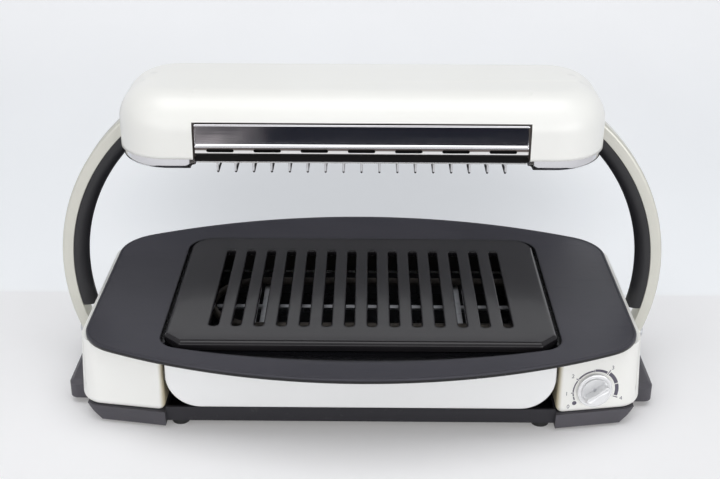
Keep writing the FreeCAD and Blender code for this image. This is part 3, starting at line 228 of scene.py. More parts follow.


# painted shade is in the gap tone at the panel's foot, in part of the brown line under the bead, and in the dark
# run of the guard wires
bright = {"bandZ": (0.2458, 0.2462), "brownZ": (0.2434, 0.2440), "footZ": (0.2409, 0.2411),
          "steel": ((0.74, 0.74, 0.76), (0.66, 0.65, 0.67)), "brushed": (0.84, 0.83, 0.82),
          "brownAndShade": ((0.19, 0.155, 0.14), (0.11, 0.09, 0.085)), "gap": (0.006, 0.005, 0.005),
          "wireZ": (0.2237, 0.2241), "wire": (0.66, 0.66, 0.67),
          "paintedShade": ((0.02, 0.02, 0.02), (0.06, 0.05, 0.05))}


def panelSteel():
    # mirror bright above the bead, with a brown line below it that is heat tint and the bead's painted shadow
    # together, a brushed band of vents, and painted shade near black at its foot
    paint = Paint("panelSteel")
    lines = paint.noise(240, 3, 0.6, paint.stretched(0.05, 1, 1))
    level = paint.axis("Z")
    band = 1 - level.between(*bright["bandZ"])
    # painted shade: near black below the vents, where the panel turns in under the head
    foot = 1 - level.between(*bright["footZ"])
    # brown heat tint, with the bead's shadow painted into it
    brownAndShade = paint.blend(paint.noise(60, 3), *bright["brownAndShade"])
    lower = paint.blend(level.between(*bright["brownZ"]), bright["brushed"], brownAndShade)
    tone = paint.blend(band, paint.blend(lines, *bright["steel"]), paint.blend(foot, lower, bright["gap"]))
    paint.bump(lines + paint.noise(5, 2) * 4, 0.02, 0.0006)
    return paint.use(Base_Color=tone, Metallic=1 - band * 0.8, Roughness=0.05 + lines * 0.03 + band * 0.3)


def guardWire():
    # plated wire, bright at its upright ends, with painted shade near black along its level run
    paint = Paint("guardWire")
    run = 1 - paint.axis("Z").between(*bright["wireZ"])
    cloud = paint.noise(70, 3)
    return paint.use(Base_Color=paint.blend(run, bright["wire"], paint.blend(cloud, *bright["paintedShade"])),
                     Metallic=0.85, Roughness=0.3 + cloud * 0.1)


def rolledSheet(name, light, dark, rough):
    # bright rolled sheet, a little straw-coloured where it gets hot
    paint = Paint(name)
    lines = paint.noise(300, 3, 0.6, paint.stretched(0.04, 1, 1))
    cloud = paint.noise(24, 4)
    heat = paint.noise(7, 3).between(0.45, 0.75)
    tone = paint.blend(lines * 0.5 + cloud * 0.5, light, dark)
    paint.bump(lines, 0.1, 0.0003)
    return paint.use(Base_Color=paint.blend(heat * 0.3, tone, (dark[0], dark[1] * 0.9, dark[2] * 0.72)),
                     Metallic=1.0, Roughness=rough + cloud * 0.12)


def linerSheet():
    # dark sheet below the plate, with its upper edge painted pale as a highlight
    paint = Paint("linerSheet")
    cloud = paint.noise(40, 4)
    # painted highlight along the upper edge
    edge = paint.axis("Z").between(0.0722, 0.0730)
    paint.bump(paint.noise(300, 3, 0.6, paint.stretched(0.04, 1, 1)), 0.1, 0.0003)
    darkBody = paint.blend(cloud, (0.035, 0.033, 0.032), (0.075, 0.068, 0.062))
    return paint.use(Base_Color=paint.blend(edge, darkBody, (0.72, 0.70, 0.66)), Metallic=0.7,
                     Roughness=0.42 + cloud * 0.2 - edge * 0.2)


def zincSheet():
    # galvanised steel with its spangle
    paint = Paint("zincSheet")
    spangle = paint.node("ShaderNodeTexVoronoi", None, {"Vector": paint.place, "Scale": 190}, out="Color")
    shade = paint.node("ShaderNodeSeparateColor", None, {"Color": spangle})
    grain = paint.noise(700, 2)
    paint.bump(grain, 0.08, 0.0002)
    return paint.use(Base_Color=paint.blend(shade, (0.50, 0.51, 0.53), (0.62, 0.63, 0.65)), Metallic=1.0,
                     Roughness=0.34 + shade * 0.14)


def mouldedGrey(name, light, dark, rough, middle=0):
    # grained dull plastic with a little dust, and painted shade between the blocks when middle is given
    paint = Paint(name)
    grain = paint.specks(1300)
    cloud = paint.noise(15, 4)
    dust = paint.noise(130, 4, 0.7).between(0.6, 0.8)
    paint.bump(grain, 0.35, 0.0003)
    tone = paint.blend(cloud.between(0.3, 0.7), dark, light)
    if middle:
        # painted shade: the strips between the blocks are painted near black, as the shade in that recess
        middleShade = 1 - abs(paint.axis("X")).between(middle, middle + 0.0005)
        tone = paint.blend(middleShade, tone, (0.016, 0.015, 0.02))
    return paint.use(Base_Color=paint.blend(dust * 0.12, tone, (0.3, 0.3, 0.3)),
                     Roughness=rough + cloud * 0.1, Specular_IOR_Level=0.45)


def ceramicWhite():
    # unglazed, with darker pits
    paint = Paint("ceramicWhite")
    cloud = paint.noise(120, 4)
    pits = 1 - paint.specks(900).between(0.05, 0.2)
    paint.bump(cloud + pits * 0.6, 0.2, 0.0003)
    return paint.use(Base_Color=paint.blend(pits * 0.5, (0.80, 0.77, 0.71), (0.52, 0.47, 0.41)), Roughness=0.55)


def trayEnamel():
    # dark enamel with pale specks
    paint = Paint("trayEnamel")
    speck = 1 - paint.specks(520).between(0.06, 0.14)
    cloud = paint.noise(20, 4)
    paint.bump(paint.noise(260, 2), 0.08, 0.0003)
    return paint.use(Base_Color=paint.blend(speck * 0.6, (0.035, 0.036, 0.040), (0.30, 0.30, 0.31)),
                     Roughness=0.22 + cloud * 0.1, Coat_Weight=0.3, Coat_Roughness=0.1)


def dialInk():
    paint = Paint("dialInk")
    cloud = paint.noise(700, 3)
    return paint.use(Base_Color=paint.blend(cloud, (0.095, 0.085, 0.12), (0.12, 0.11, 0.145)), Roughness=0.5)


def blackGrip():
    paint = Paint("blackGrip")
    grain = paint.specks(1500)
    cloud = paint.noise(30, 4)
    paint.bump(grain, 0.25, 0.0003)
    return paint.use(Base_Color=paint.blend(cloud, (0.012, 0.012, 0.014), (0.022, 0.021, 0.024)),
                     Roughness=0.38 + cloud * 0.12)


def rubberBlack():
    paint = Paint("rubberBlack")
    grain = paint.noise(900, 3)
    dust = paint.noise(200, 4, 0.7).between(0.55, 0.8)
    paint.bump(grain, 0.3, 0.0003)
    return paint.use(Base_Color=paint.blend(dust * 0.3, (0.02, 0.02, 0.02), (0.12, 0.12, 0.11)), Roughness=0.8)


finishes = {
    "ivory_plastic": ivoryPlastic("ivoryPlastic"),
    "white_enamel": plainFinish(
        "enamelWhite", cloud=(7, 3, 0.5), tones=((0.955, 0.955, 0.95), (0.93, 0.93, 0.925)), soft=(0.3, 0.7),
        rough=(0.2, 0.06), grain=(90, 2, 0.03, 0.0004), Coat_Weight=0.4, Coat_Roughness=0.08),
    "grey_plastic": mouldedGrey("chassisGrey", (0.085, 0.080, 0.093), (0.066, 0.063, 0.073), 0.5, 0.1712),
    "surround_coat": darkCoat(),
    "grill_coat": blackGrillCoat(),
    "polished_steel": polishedSteel(),
    "reflector_steel": rolledSheet("reflectorSheet", (0.72, 0.72, 0.73), (0.60, 0.59, 0.58), 0.18),
    "zinc_steel": zincSheet(),
    "heater_steel": plainFinish(
        "heaterSheath", cloud=(90, 5, 0.6), tones=((0.055, 0.048, 0.044), (0.13, 0.115, 0.10)), soft=(0.35, 0.65),
        rough=(0.5, 0.2), grain=(600, 3, 0.2, 0.0003), Metallic=0.6),
    "quartz": plainFinish(
        "frostedQuartz", cloud=(60, 4, 0.6), stretch=(0.2, 1, 1), tones=((0.82, 0.79, 0.74), (0.66, 0.60, 0.54)),
        rough=(0.4, 0.15), grain=(900, 2, 0.12, 0.0002), Transmission_Weight=0.25, IOR=1.46),
    "ceramic": ceramicWhite(),
    "satin_band": flakeLacquer(
        "satinBand", flakes=2600, cloud=(18, 4), grain=500, strength=0.06, share=0.3,
        tones=((0.66, 0.65, 0.58), (0.76, 0.75, 0.68)), rough=0.3, coat=(0.3, 0.2)),
    "black_grip": blackGrip(),
    "rubber": rubberBlack(),
    "tray_steel": trayEnamel(),
    "knob_silver": flakeLacquer(
        "knobSilver", flakes=2400, cloud=(60, 3), grain=800, strength=0.05, share=0.2,
        tones=((0.84, 0.84, 0.85), (0.92, 0.92, 0.92)), rough=0.16, coat=(0.4, 0.08)),
    "black_plastic": mouldedGrey("blackPlastic", (0.026, 0.026, 0.028), (0.018, 0.018, 0.020), 0.4),
    "brass": plainFinish(
        "brassPins", cloud=(500, 3, 0.6), stretch=(1, 0.1, 1), tones=((0.78, 0.62, 0.32), (0.64, 0.49, 0.24)),
        rough=(0.2, 0.15), Metallic=1.0),
    "cable": mouldedGrey("cableSheath", (0.04, 0.04, 0.04), (0.03, 0.03, 0.03), 0.55),
}
# the heat shield is near black
nearBlackSheet = plainFinish(
    "nearBlackSheet", cloud=(40, 4, 0.5), tones=((0.003, 0.0028, 0.0028), (0.007, 0.006, 0.006)),
    rough=(0.6, 0.2), grain=(300, 3, 0.1, 0.0003), Specular_IOR_Level=0.15)
slotOf = {part["node"]: part["material_slot"] for part in frame["record"]["subparts"]}
special = {"heater_liner": linerSheet(), "head_heat_shield": nearBlackSheet}
for nodeName, node in cadNodes.items():
    node.data.materials.clear()
    node.data.materials.append(special.get(nodeName, finishes[slotOf[nodeName]]))
print("finishes made:", len(finishes))


def sheet(points, wrapRows=False, wrapColumns=True):
    # quads between neighbours of a grid of points, rows x columns x 3; each row is a closed ring by default
    rows, columns = points.shape[:2]
    row = np.arange(rows if wrapRows else rows - 1)[:, None]
    column = np.arange(columns if wrapColumns else columns - 1)[None, :]
    nextRow, nextColumn = (row + 1) % rows, (column + 1) % columns
    corners = [row * columns + column, row * columns + nextColumn, nextRow * columns + nextColumn,
               nextRow * columns + column]
    return points.reshape(-1, 3), np.stack(corners, -1).reshape(-1, 4)


def disc(loop):
    # one flat face over a closed loop of points
    return loop, np.arange(len(loop))[None, :]


def linked(name, data):
    # a new object that is in the scene
    made = bpy.data.objects.new(name, data)
    bpy.context.scene.collection.objects.link(made)
    return made


def buildPiece(name, body, slotName, parts, replaces=(), finish=None, sharp=38, wall=0, edge=0):
    # joins parts, given in millimetres, to one mesh, closes its seams and turns its faces outwards
    points = np.concatenate([part[0] for part in parts]) * mm
    faces, start = [], 0
    for spots, quads in parts:
        faces += (quads + start).tolist()
        start += len(spots)
    mesh = bpy.data.meshes.new(name)
    mesh.from_pydata(points.tolist(), [], faces)
    grown = bmesh.new()
    grown.from_mesh(mesh)
    bmesh.ops.remove_doubles(grown, verts=grown.verts, dist=0.004 * mm)
    bmesh.ops.dissolve_degenerate(grown, edges=grown.edges, dist=0.002 * mm)
    bmesh.ops.recalc_face_normals(grown, faces=grown.faces)
    grown.to_mesh(mesh)
    grown.free()
    mesh.shade_smooth()
    mesh.set_sharp_from_angle(angle=math.radians(sharp))
    mesh.materials.append(finish or finishes[slotName])
    piece = linked(name, mesh)
    if wall:
        solid = piece.modifiers.new("wall", "SOLIDIFY")
        solid.thickness = wall * mm
        solid.offset = -1
    if edge:
        softened(piece, edge)
    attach(piece, body)
    if replaces:
        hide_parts(*replaces)


def softened(piece, width):
    # sharp edges broken by a narrow bevel
    bevel = piece.modifiers.new("edges", "BEVEL")
    bevel.width = width * mm
    bevel.segments = 2
    bevel.limit_method = "ANGLE"
    bevel.angle_limit = math.radians(35)
    bevel.harden_normals = True


def arc(centreX, centreY, radius, start, end, count):
    # points on a circle: centre + radius * (cos, sin), between two angles in degrees
    turn = np.radians(np.linspace(start, end, count))
    return np.stack([centreX + radius * np.cos(turn), centreY + radius * np.sin(turn)], -1)


def roundEdge(radius, start, end, count):
    # how far a rounded edge has come in and up: radius * (1 - cos, sin), between two angles in degrees
    turn = np.radians(np.linspace(start, end, count))
    return np.stack([radius - radius * np.cos(turn), radius * np.sin(turn)], -1)


def line(start, end, count):
    return np.linspace(start, end, count)


def lift(loop, z):
    # a flat loop, set at height z
    return np.column_stack([loop, np.full(len(loop), z)])


def roundedLoop(halfX, halfY, corner, counts):
    # rounded rectangle from its front left corner, anticlockwise from above
    along, bend, side = counts
    x, y = halfX - corner, halfY - corner
    pieces = [line((-x, -halfY), (x, -halfY), along), arc(x, -y, corner, -90, 0, bend),
              line((halfX, -y), (halfX, y), side), arc(x, y, corner, 0, 90, bend),
              line((x, halfY), (-x, halfY), along), arc(-x, y, corner, 90, 180, bend),
              line((-halfX, y), (-halfX, -y), side), arc(-x, -y, corner, 180, 270, bend)]
    return np.concatenate([piece[:-1] for piece in pieces])


def bowedHalf(half, deep, bow, corner, counts):
    # left side, left corner, bowed front and right corner of a plan
    bend, along = counts
    side = half - corner
    middleY = bow - deep
    cornerY = middleY - math.sqrt((bow - corner) ** 2 - side ** 2)
    turn = math.degrees(math.atan2(side, middleY - cornerY))
    left = arc(-side, cornerY, corner, 180, 270 - turn, bend)
    front = arc(0, middleY, bow, 270 - turn, 270 + turn, along)
    right = arc(side, cornerY, corner, 270 + turn, 360, bend)
    return np.concatenate([left[:-1], front[:-1], right])


def bowedLoop(front, back, counts=(16, 81), sides=24):
    # a closed plan: one bowed half in front, one turned round behind, and straight lines between them
    first = bowedHalf(*front, counts)
    last = -bowedHalf(*back, counts)
    right = line(first[-1], last[0], sides)[1:-1]
    left = line(last[-1], first[0], sides)[1:-1]
    return np.concatenate([first, right, last, left])


def dressCopy(name, node, body, edge=0.0, finish=None, sharp=32):
    # the CAD piece again, with its seams merged, its flat faces whole and its edges broken
    mesh = cadNodes[node].data.copy()
    mesh.name = name
    grown = bmesh.new()
    grown.from_mesh(mesh)
    bmesh.ops.remove_doubles(grown, verts=grown.verts, dist=0.01 * mm)
    bmesh.ops.dissolve_limit(grown, angle_limit=math.radians(0.6), verts=grown.verts, edges=grown.edges)
    grown.to_mesh(mesh)
    grown.free()
    mesh.shade_smooth()
    mesh.set_sharp_from_angle(angle=math.radians(sharp))
    mesh.materials.clear()
    mesh.materials.append(finish or finishes[slotOf[node]])
    piece = linked(name, mesh)
    if edge:
        softened(piece, edge)
    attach(piece, body)
    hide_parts(node)


view = {"place": (0.00598, -1.00269, 0.59119), "yaw": -0.43, "pitch": 24.55, "roll": 0.18, "lens": 59.69,
        "film": 36}
studio = {"wallY": 2.4, "wallHigh": 3.0, "turn": 0.6, "reach": 6.0, "seamY": 0.152, "seamSoft": 0.003,
          "wallTint": (0.82, 0.84, 0.86), "floorTint": (0.83, 0.83, 0.845), "marked": 0.965,
          "nearLift": (0.215, 0.215, 0.22), "farLift": (0.39, 0.38, 0.38), "floorLift": (0.165, 0.16, 0.155),
          "farY": (0.3, 1.6), "shadeY": 0.44, "shadeWide": 0.36, "shadeDeep": 0.34, "shade": 0.42,
          "shadeTint": (0.40, 0.41, 0.43), "ambient": 0.5, "air": (0.95, 0.97, 1)}
cloths = {"black": {"x": (-0.6, 1.3), "y": (-2.6, -0.71), "z": (0.002, 0.002)},
          "grey": {"x": (-0.40, 0.235), "y": (0.24, 0.24), "z": (0.02, 0.224)}}
lamps = {"overhead": ((0.0, -0.3, 1.6), (0, 0, 0.12), (1.6, 1.0), 10.0, (1, 1, 1)),
         "frontSoftbox": ((0.0, -1.7, 0.3), (0, 0, 0.1), (1.7, 0.5), 3.8, (1, 1, 1)),
         "leftWindow": ((-1.2, -1.4, 0.75), (0, 0, 0.1), (1.2, 0.8), 3.6, (1, 0.99, 0.97)),
         "rightFill": ((1.2, -1.4, 0.34), (0, 0, 0.08), (1.2, 0.6), 5.8, (1, 1, 1))}


def makeCamera():
    # its three axes from yaw, pitch and roll
    yaw, pitch, roll = (math.radians(view[key]) for key in ("yaw", "pitch", "roll"))
    ahead = Vector((math.sin(yaw) * math.cos(pitch), math.cos(yaw) * math.cos(pitch), -math.sin(pitch)))
    level = Vector((math.cos(yaw), -math.sin(yaw), 0))
    under = ahead.cross(level)
    right = math.cos(roll) * level - math.sin(roll) * under
    down = math.sin(roll) * level + math.cos(roll) * under
    data = bpy.data.cameras.new("camera")
    data.lens = view["lens"]
    data.sensor_width = view["film"]
    camera = linked("camera", data)
    axes = Matrix((right, -down, -ahead)).transposed().to_4x4()
    camera.matrix_world = Matrix.Translation(view["place"]) @ axes
    bpy.context.scene.camera = camera


def makeLamp(name, place, aim, size, power, tint):
    data = bpy.data.lights.new(name, "AREA")
    data.shape = "RECTANGLE"
    data.size, data.size_y = size
    data.energy = power
    data.color = tint
    lamp = linked(name, data)
    lamp.location = place
    lamp.rotation_euler = (Vector(aim) - Vector(place)).to_track_quat("-Z", "Y").to_euler()


def boardFinish():
    # pale board in front, cooler painted board behind, both with broad soft marks
    paint = Paint("paleBoard")
    marks = paint.noise(1.6, 4, 0.55, paint.stretched(1.6, 0.5, 0.5))
    fine = paint.noise(30, 4, 0.6)
    behind = paint.axis("Y").between(studio["seamY"] - studio["seamSoft"], studio["seamY"] + studio["seamSoft"])
    tint = paint.blend(behind, studio["floorTint"], studio["wallTint"])
    marked = paint.blend(behind, *(tuple(studio["marked"] * channel for channel in studio[key])
                                   for key in ("floorTint", "wallTint")))
    # seen by the camera, in a mirror or through glass, the board is a little whiter than it lights the grill
    rays = [paint.node("ShaderNodeLightPath", out=f"Is {kind} Ray")
            for kind in ("Camera", "Glossy", "Transmission")]
    seen = rays[0] + rays[1] + rays[2]
    far = paint.axis("Y").between(*studio["farY"])
    lift = paint.blend(behind, studio["floorLift"], paint.blend(far, studio["nearLift"], studio["farLift"]))
    # a soft grey on the board behind the grill, as the head shades it
    acrossShade = paint.axis("X") / studio["shadeWide"]
    alongShade = (paint.axis("Y") - studio["shadeY"]) / studio["shadeDeep"]
    away = acrossShade * acrossShade + alongShade * alongShade
    dim = (1 - away.between(0.0, 1.0)) * studio["shade"]
    lift = paint.blend(dim, lift, (0.0, 0.0, 0.0))
    tone = paint.blend((marks * 0.85 + fine * 0.15).between(0.35, 0.65), tint, marked)
    return paint.use(Base_Color=paint.blend(dim, tone, studio["shadeTint"]), Roughness=0.7,
                     Specular_IOR_Level=0.25, Emission_Color=paint.blend(seen, (0, 0, 0), lift),
                     Emission_Strength=1.0)


def blackCloth():
    # black studio cloth, seen only in reflections, painted pale towards its left side as a paler reflection there
    paint = Paint("blackCloth")
    weave = paint.noise(500, 3)
    folds = paint.noise(9, 4, 0.6).between(0.42, 0.6)
    paleSide = 1 - (paint.axis("X") + folds * 0.06).between(-0.17, -0.12)
    black = paint.blend(weave, (0.012, 0.013, 0.022), (0.020, 0.021, 0.030))
    return paint.use(Base_Color=paint.blend(paleSide * (0.2 + folds * 0.8), black, (0.50, 0.46, 0.46)),
                     Roughness=1.0, Specular_IOR_Level=0.0)


def greyCloth():
    # grey cloth seen only in reflections, for a shaded wall close behind, painted black at its foot as the deeper
    # shade low on that wall
    paint = Paint("greyCloth")
    grey = paint.blend(paint.noise(8, 3), (0.40, 0.40, 0.42), (0.46, 0.46, 0.48))
    return paint.use(Base_Color=paint.blend(paint.axis("Z").between(0.07, 0.17), (0.02, 0.02, 0.024), grey),
                     Roughness=1.0, Specular_IOR_Level=0.0)


def stageSheet(name, points, finish):
    # a plain mesh that isn't part of the grill
    spots, quads = sheet(points, wrapColumns=False)
    mesh = bpy.data.meshes.new(name)
    mesh.from_pydata(spots.tolist(), [], quads.tolist())
    mesh.materials.append(finish)
    made = linked(name, mesh)
    return made


def makeStage():
    # table top that turns up into the wall behind
    wall, turn, reach = studio["wallY"], studio["turn"], studio["reach"]
    profile = np.concatenate([[[-reach, 0]], arc(wall - turn, turn, turn, -90, 0, 17),
                              [[wall, studio["wallHigh"]]]])
    strips = [np.column_stack([np.full(len(profile), x), profile]) for x in np.linspace(-reach, reach, 3)]
    top = stageSheet("tableTop", np.stack(strips), boardFinish())
    top.data.shade_smooth()
    # a black cloth on the table in front and a grey one hung close behind, seen only as reflections
    for kind, finish in (("black", blackCloth()), ("grey", greyCloth())):
        (left, right), (front, back), (low, high) = (cloths[kind][key] for key in "xyz")
        corners = [[[x, front, low], [x, back, high]] for x in (left, right)]
        cloth = stageSheet(f"{kind}Cloth", np.array(corners), finish)
        cloth.visible_camera = cloth.visible_diffuse = cloth.visible_shadow = cloth.visible_transmission = False


def makeRoom():
    # an even pale room, a little whiter to the eye than the light that it gives
    world = bpy.data.worlds.new("softRoom")
    world.use_nodes = True
    tree = world.node_tree
    light, pale = tree.nodes["Background"], tree.nodes.new("ShaderNodeBackground")
    for shader, tint, strength in ((light, studio["air"], studio["ambient"]), (pale, studio["wallTint"], 1.0)):
        shader.inputs["Color"].default_value = (*tint, 1)
        shader.inputs["Strength"].default_value = strength
    ray, either = tree.nodes.new("ShaderNodeLightPath"), tree.nodes.new("ShaderNodeMixShader")
    tree.links.new(ray.outputs["Is Camera Ray"], either.inputs["Fac"])
    tree.links.new(light.outputs["Background"], either.inputs[1])
    tree.links.new(pale.outputs["Background"], either.inputs[2])
    tree.links.new(either.outputs["Shader"], tree.nodes["World Output"].inputs["Surface"])
    bpy.context.scene.world = world


makeCamera()
makeStage()
makeRoom()
for lampName, lampValues in lamps.items():
    makeLamp(lampName, *lampValues)
bpy.context.scene.view_settings.view_transform = "Standard"
print("camera, lamps and table made")


surround = {"half": 242, "deep": 167.5, "bow": 497, "corner": 45, "top": 84.0, "skirt": 79.9, "hem": 0.5,
            "bead": 1.5, "beadFoot": 0.12, "groove": 0.9, "step": 0.55, "wellHalf": 174, "wellBack": 111,
            "wellCorner": 24, "scoopCorner": 20, "scoop": 141, "foot": 113, "footSag": 0.4, "rimSag": 31.6,
            "straight": 60000, "lip": 2.2, "lipFall": 3.4, "floor": 76.9, "windowHalf": 160, "windowDeep": 93,
            "windowEdge": 2, "wall": 1.8}


def lensLoop(inset):
    # the plate's outer plan: the same bowed side in front and behind
    plan = [surround[key] - inset for key in ("half", "deep", "bow", "corner")]
    return bowedLoop(plan, plan)


def wellLoop(openness, grow=0.0):
    # the well's plan between its straight-footed floor (0) and its bowed rim (1)
    half = surround["wellHalf"] + grow
    middle = surround["foot"] + (surround["scoop"] - surround["foot"]) * openness + grow
    sag = surround["footSag"] + (surround["rimSag"] - surround["footSag"]) * openness
    bow = (half * half + sag * sag) / (2 * sag)
    front = (half, middle, bow, surround["scoopCorner"] + grow)
    back = (half, surround["wellBack"] + grow, surround["straight"], surround["wellCorner"] + grow)
    return bowedLoop(front, back)


def makeSurround():
    # rings of one loop each: up the skirt, over the bead, across the flat, down the well, to the window
    top, bead, lip, floorZ = surround["top"], surround["bead"], surround["lip"], surround["floor"]
    flat = top - surround["step"]
    skirt, hem = surround["skirt"], surround["hem"]
    rings = [lift(lensLoop(hem), skirt), lift(lensLoop(0), skirt + hem), lift(lensLoop(0), top - bead)]
    for inset, rise in roundEdge(bead, 15, 165, 9):
        rings.append(lift(lensLoop(inset), top - bead + rise))
    rings[-1][:, 2] = flat + surround["beadFoot"]
    inner, rim = lensLoop(2 * bead + surround["groove"]), wellLoop(1, lip)
    for share in np.linspace(0, 1, 9):
        rings.append(lift(inner + (rim - inner) * share, flat))
    for share in np.linspace(0, 1, 22)[1:]:
        # the fall eases in over the lip and out on the floor
        fall = share * share * (3 - 2 * share)
        grow = lip * (1 - min(1, surround["lipFall"] * share)) ** 2
        rings.append(lift(wellLoop(1 - share, grow), flat - (flat - floorZ) * fall))
    window = wellLoop(0) * [surround["windowHalf"] / surround["wellHalf"], 1]
    window[:, 1] = np.clip(window[:, 1], -surround["windowDeep"], surround["windowDeep"])
    floor = rings[-1][:, :2]
    for share in (0.5, 1.0):
        rings.append(lift(floor + (window - floor) * share, floorZ))
    rings.append(lift(window, floorZ - surround["windowEdge"]))
    buildPiece("surroundPlate", "surround", "surround_coat", [sheet(np.stack(rings))],
               ["surround_plate"], sharp=50, wall=surround["wall"])


grill = {"half": 171.2, "front": -109.9, "back": 107.1, "facet": 15, "facetSoft": 3.2, "corner": 22, "top": 86.0,
         "low": 77.4, "edge": 4.2, "foot": 0.6, "hem": 2.6, "skin": 6, "slots": 14, "pitch": 20, "slotHalf": 4,
         "slotReach": 74.5, "slotMiddle": -1.4, "slotEdge": 1.9, "blockDeep": 84}


def plateLoop(inset):
    # plan of the grill plate: rounded back corners, cut and softened front corners
    half, front, back = grill["half"] - inset, grill["front"] + inset, grill["back"] - inset
    corner, soft = grill["corner"] - inset, grill["facetSoft"]
    facet = grill["facet"] - inset * (2 - math.sqrt(2))
    reach = soft * math.tan(math.radians(22.5))
    first = arc(half - facet - reach, front + soft, soft, -90, -45, 5)
    second = arc(half - soft, front + facet + reach, soft, -45, 0, 5)
    right = [line((-(half - facet - reach), front), (half - facet - reach, front), 60)[:-1], first,
             line(first[-1], second[0], 5)[1:-1], second, line(second[-1], (half, back - corner), 40)[1:-1],
             arc(half - corner, back - corner, corner, 0, 90, 16)]
    left = [part[::-1] * [-1, 1] for part in right[:0:-1]]
    return np.concatenate(right + [line((half - corner, back), (corner - half, back), 60)[1:-1]] + left)


def slotCell(halfX, halfY, radius, reach, edge, deep, bend=13, side=9, foot=0.6):
    # a flat rectangle with a round-ended slot along Y: rings run from the rectangle over a soft edge and down
    # the wall, then back out under the skin; heights are measured down from the top face
    nook = math.degrees(math.atan2(halfY - reach, halfX))
    upper = np.radians(np.sort(np.append(np.linspace(0, 180, bend), [nook, 180 - nook])))
    cap = np.stack([np.cos(upper), np.sin(upper)], -1)
    across, along = np.maximum(abs(cap[:, 0]), 1e-9), np.maximum(cap[:, 1], 1e-9)
    stretch = np.minimum(halfX / across, (halfY - reach) / along)
    right = line(-reach, reach, side)[1:-1]

    def ring(away, z):
        # away None is the rectangle itself
        top = cap * (stretch[:, None] if away is None else away) + [0, reach]
        rightSide = np.column_stack([np.full(len(right), halfX if away is None else away), right])
        return lift(np.concatenate([rightSide, top, -rightSide, -top]), z)

    rings = [ring(None, 0), ring(radius + edge, 0)]
    rings += [ring(radius + edge - away, -drop) for drop, away in roundEdge(edge, 18, 90, 5)]
    return np.stack(rings + [ring(radius, foot - deep), ring(radius + foot, -deep), ring(None, -deep)])


def makeGrillPlate():
    # slotted cells side by side, and rings of the plan round them, over the soft edge and under the skin
    top, edge, low, pitch, middleY = (grill[key] for key in ("top", "edge", "low", "pitch", "slotMiddle"))
    under = top - grill["skin"]
    cell = slotCell(pitch / 2, grill["blockDeep"], grill["slotHalf"], grill["slotReach"], grill["slotEdge"],
                    grill["skin"])
    parts = []
    for index in range(grill["slots"]):
        middle = (index - (grill["slots"] - 1) / 2) * pitch
        parts.append(sheet(cell + [middle, middleY, top]))
    rings = [lift(plateLoop(grill["hem"] + 0.6), under), lift(plateLoop(grill["hem"]), low),
             lift(plateLoop(0.5), low), lift(plateLoop(0), low + grill["foot"]), lift(plateLoop(0), top - edge)]
    for inset, rise in roundEdge(edge, 0, 90, 8)[1:]:
        rings.append(lift(plateLoop(inset), top - edge + rise))
    outline = rings[-1][:, :2]
    reachX, reachY = pitch * grill["slots"] / 2, grill["blockDeep"]
    inner = np.clip(outline, [-reachX, middleY - reachY], [reachX, middleY + reachY])
    for share in (0.5, 1.0):
        rings.append(lift(outline + (inner - outline) * share, top))
    rings = [lift(inner, under)] + rings + [lift(inner, under)]
    parts.append(sheet(np.stack(rings)))
    buildPiece("grillPlate", "grill", "grill_coat", parts, ["grill_plate"], sharp=40)


makeSurround()
makeGrillPlate()
print("surround and grill plate made")


head = {"half": 209.5, "deep": 65, "low": 235.6, "high": 289, "corner": 47, "round": 30, "notchHalf": 140.8,
        "notchHigh": 267.2, "notchRound": 3, "wall": 2.5, "slotHalf": 9.9, "slotHigh": 255.4}


def coverSections():
    # plan points with their outward normals; dense stations at the notch's and the arm slots' sides
    corner, half, deep, slot = head["corner"], head["half"], head["deep"], head["slotHalf"]
    sideX, sideY = half - corner, deep - corner
    notch, rounding = head["notchHalf"], head["notchRound"]
    nook = notch - rounding + rounding * np.sin(np.radians(np.linspace(0, 90, 7)))
    front = np.concatenate([line(-sideX, -notch - 4, 5), [-notch - 0.02], -nook[::-1],
                            line(rounding - notch, notch - rounding, 41)[1:-1], nook, [notch + 0.02],
                            line(notch + 4, sideX, 5)])
    nearSlot = np.array([slot / 2, slot, slot + 0.02, slot + 2, sideY])
    right = np.concatenate([-nearSlot[::-1], [0], nearSlot])
    plan = []
    sides = [(front, -deep, sideX, -sideY), (right, half, sideX, sideY),
             (line(sideX, -sideX, 31), deep, -sideX, sideY), (right[::-1], -half, -sideX, -sideY)]
    for quarter, (stations, away, x, y) in enumerate(sides):
        # one straight side and the round corner that follows it
        along = quarter % 2
        straight = np.zeros((len(stations), 4))
        straight[:, along], straight[:, 1 - along], straight[:, 3 - along] = stations, away, np.sign(away)
        normal = arc(0, 0, 1, quarter * 90 - 90, quarter * 90, 17)
        plan += [straight[:-1], np.column_stack([normal * corner + [x, y], normal])[:-1]]
    return np.concatenate(plan)


def coverLow(plan):
    # height of the cover's lower edge over each plan point
    x, y = abs(plan[:, 0]), plan[:, 1]
    notch, rounding, top = head["notchHalf"], head["notchRound"], head["notchHigh"]
    nook = top - rounding + np.sqrt(np.maximum(rounding ** 2 - np.maximum(x - notch + rounding, 0) ** 2, 0))
    low = np.where((y < -head["deep"] + 0.01) & (x <= notch + 0.001), nook, head["low"])
    return np.where((x > head["half"] - 0.01) & (abs(y) <= head["slotHalf"] + 0.001), head["slotHigh"], low)


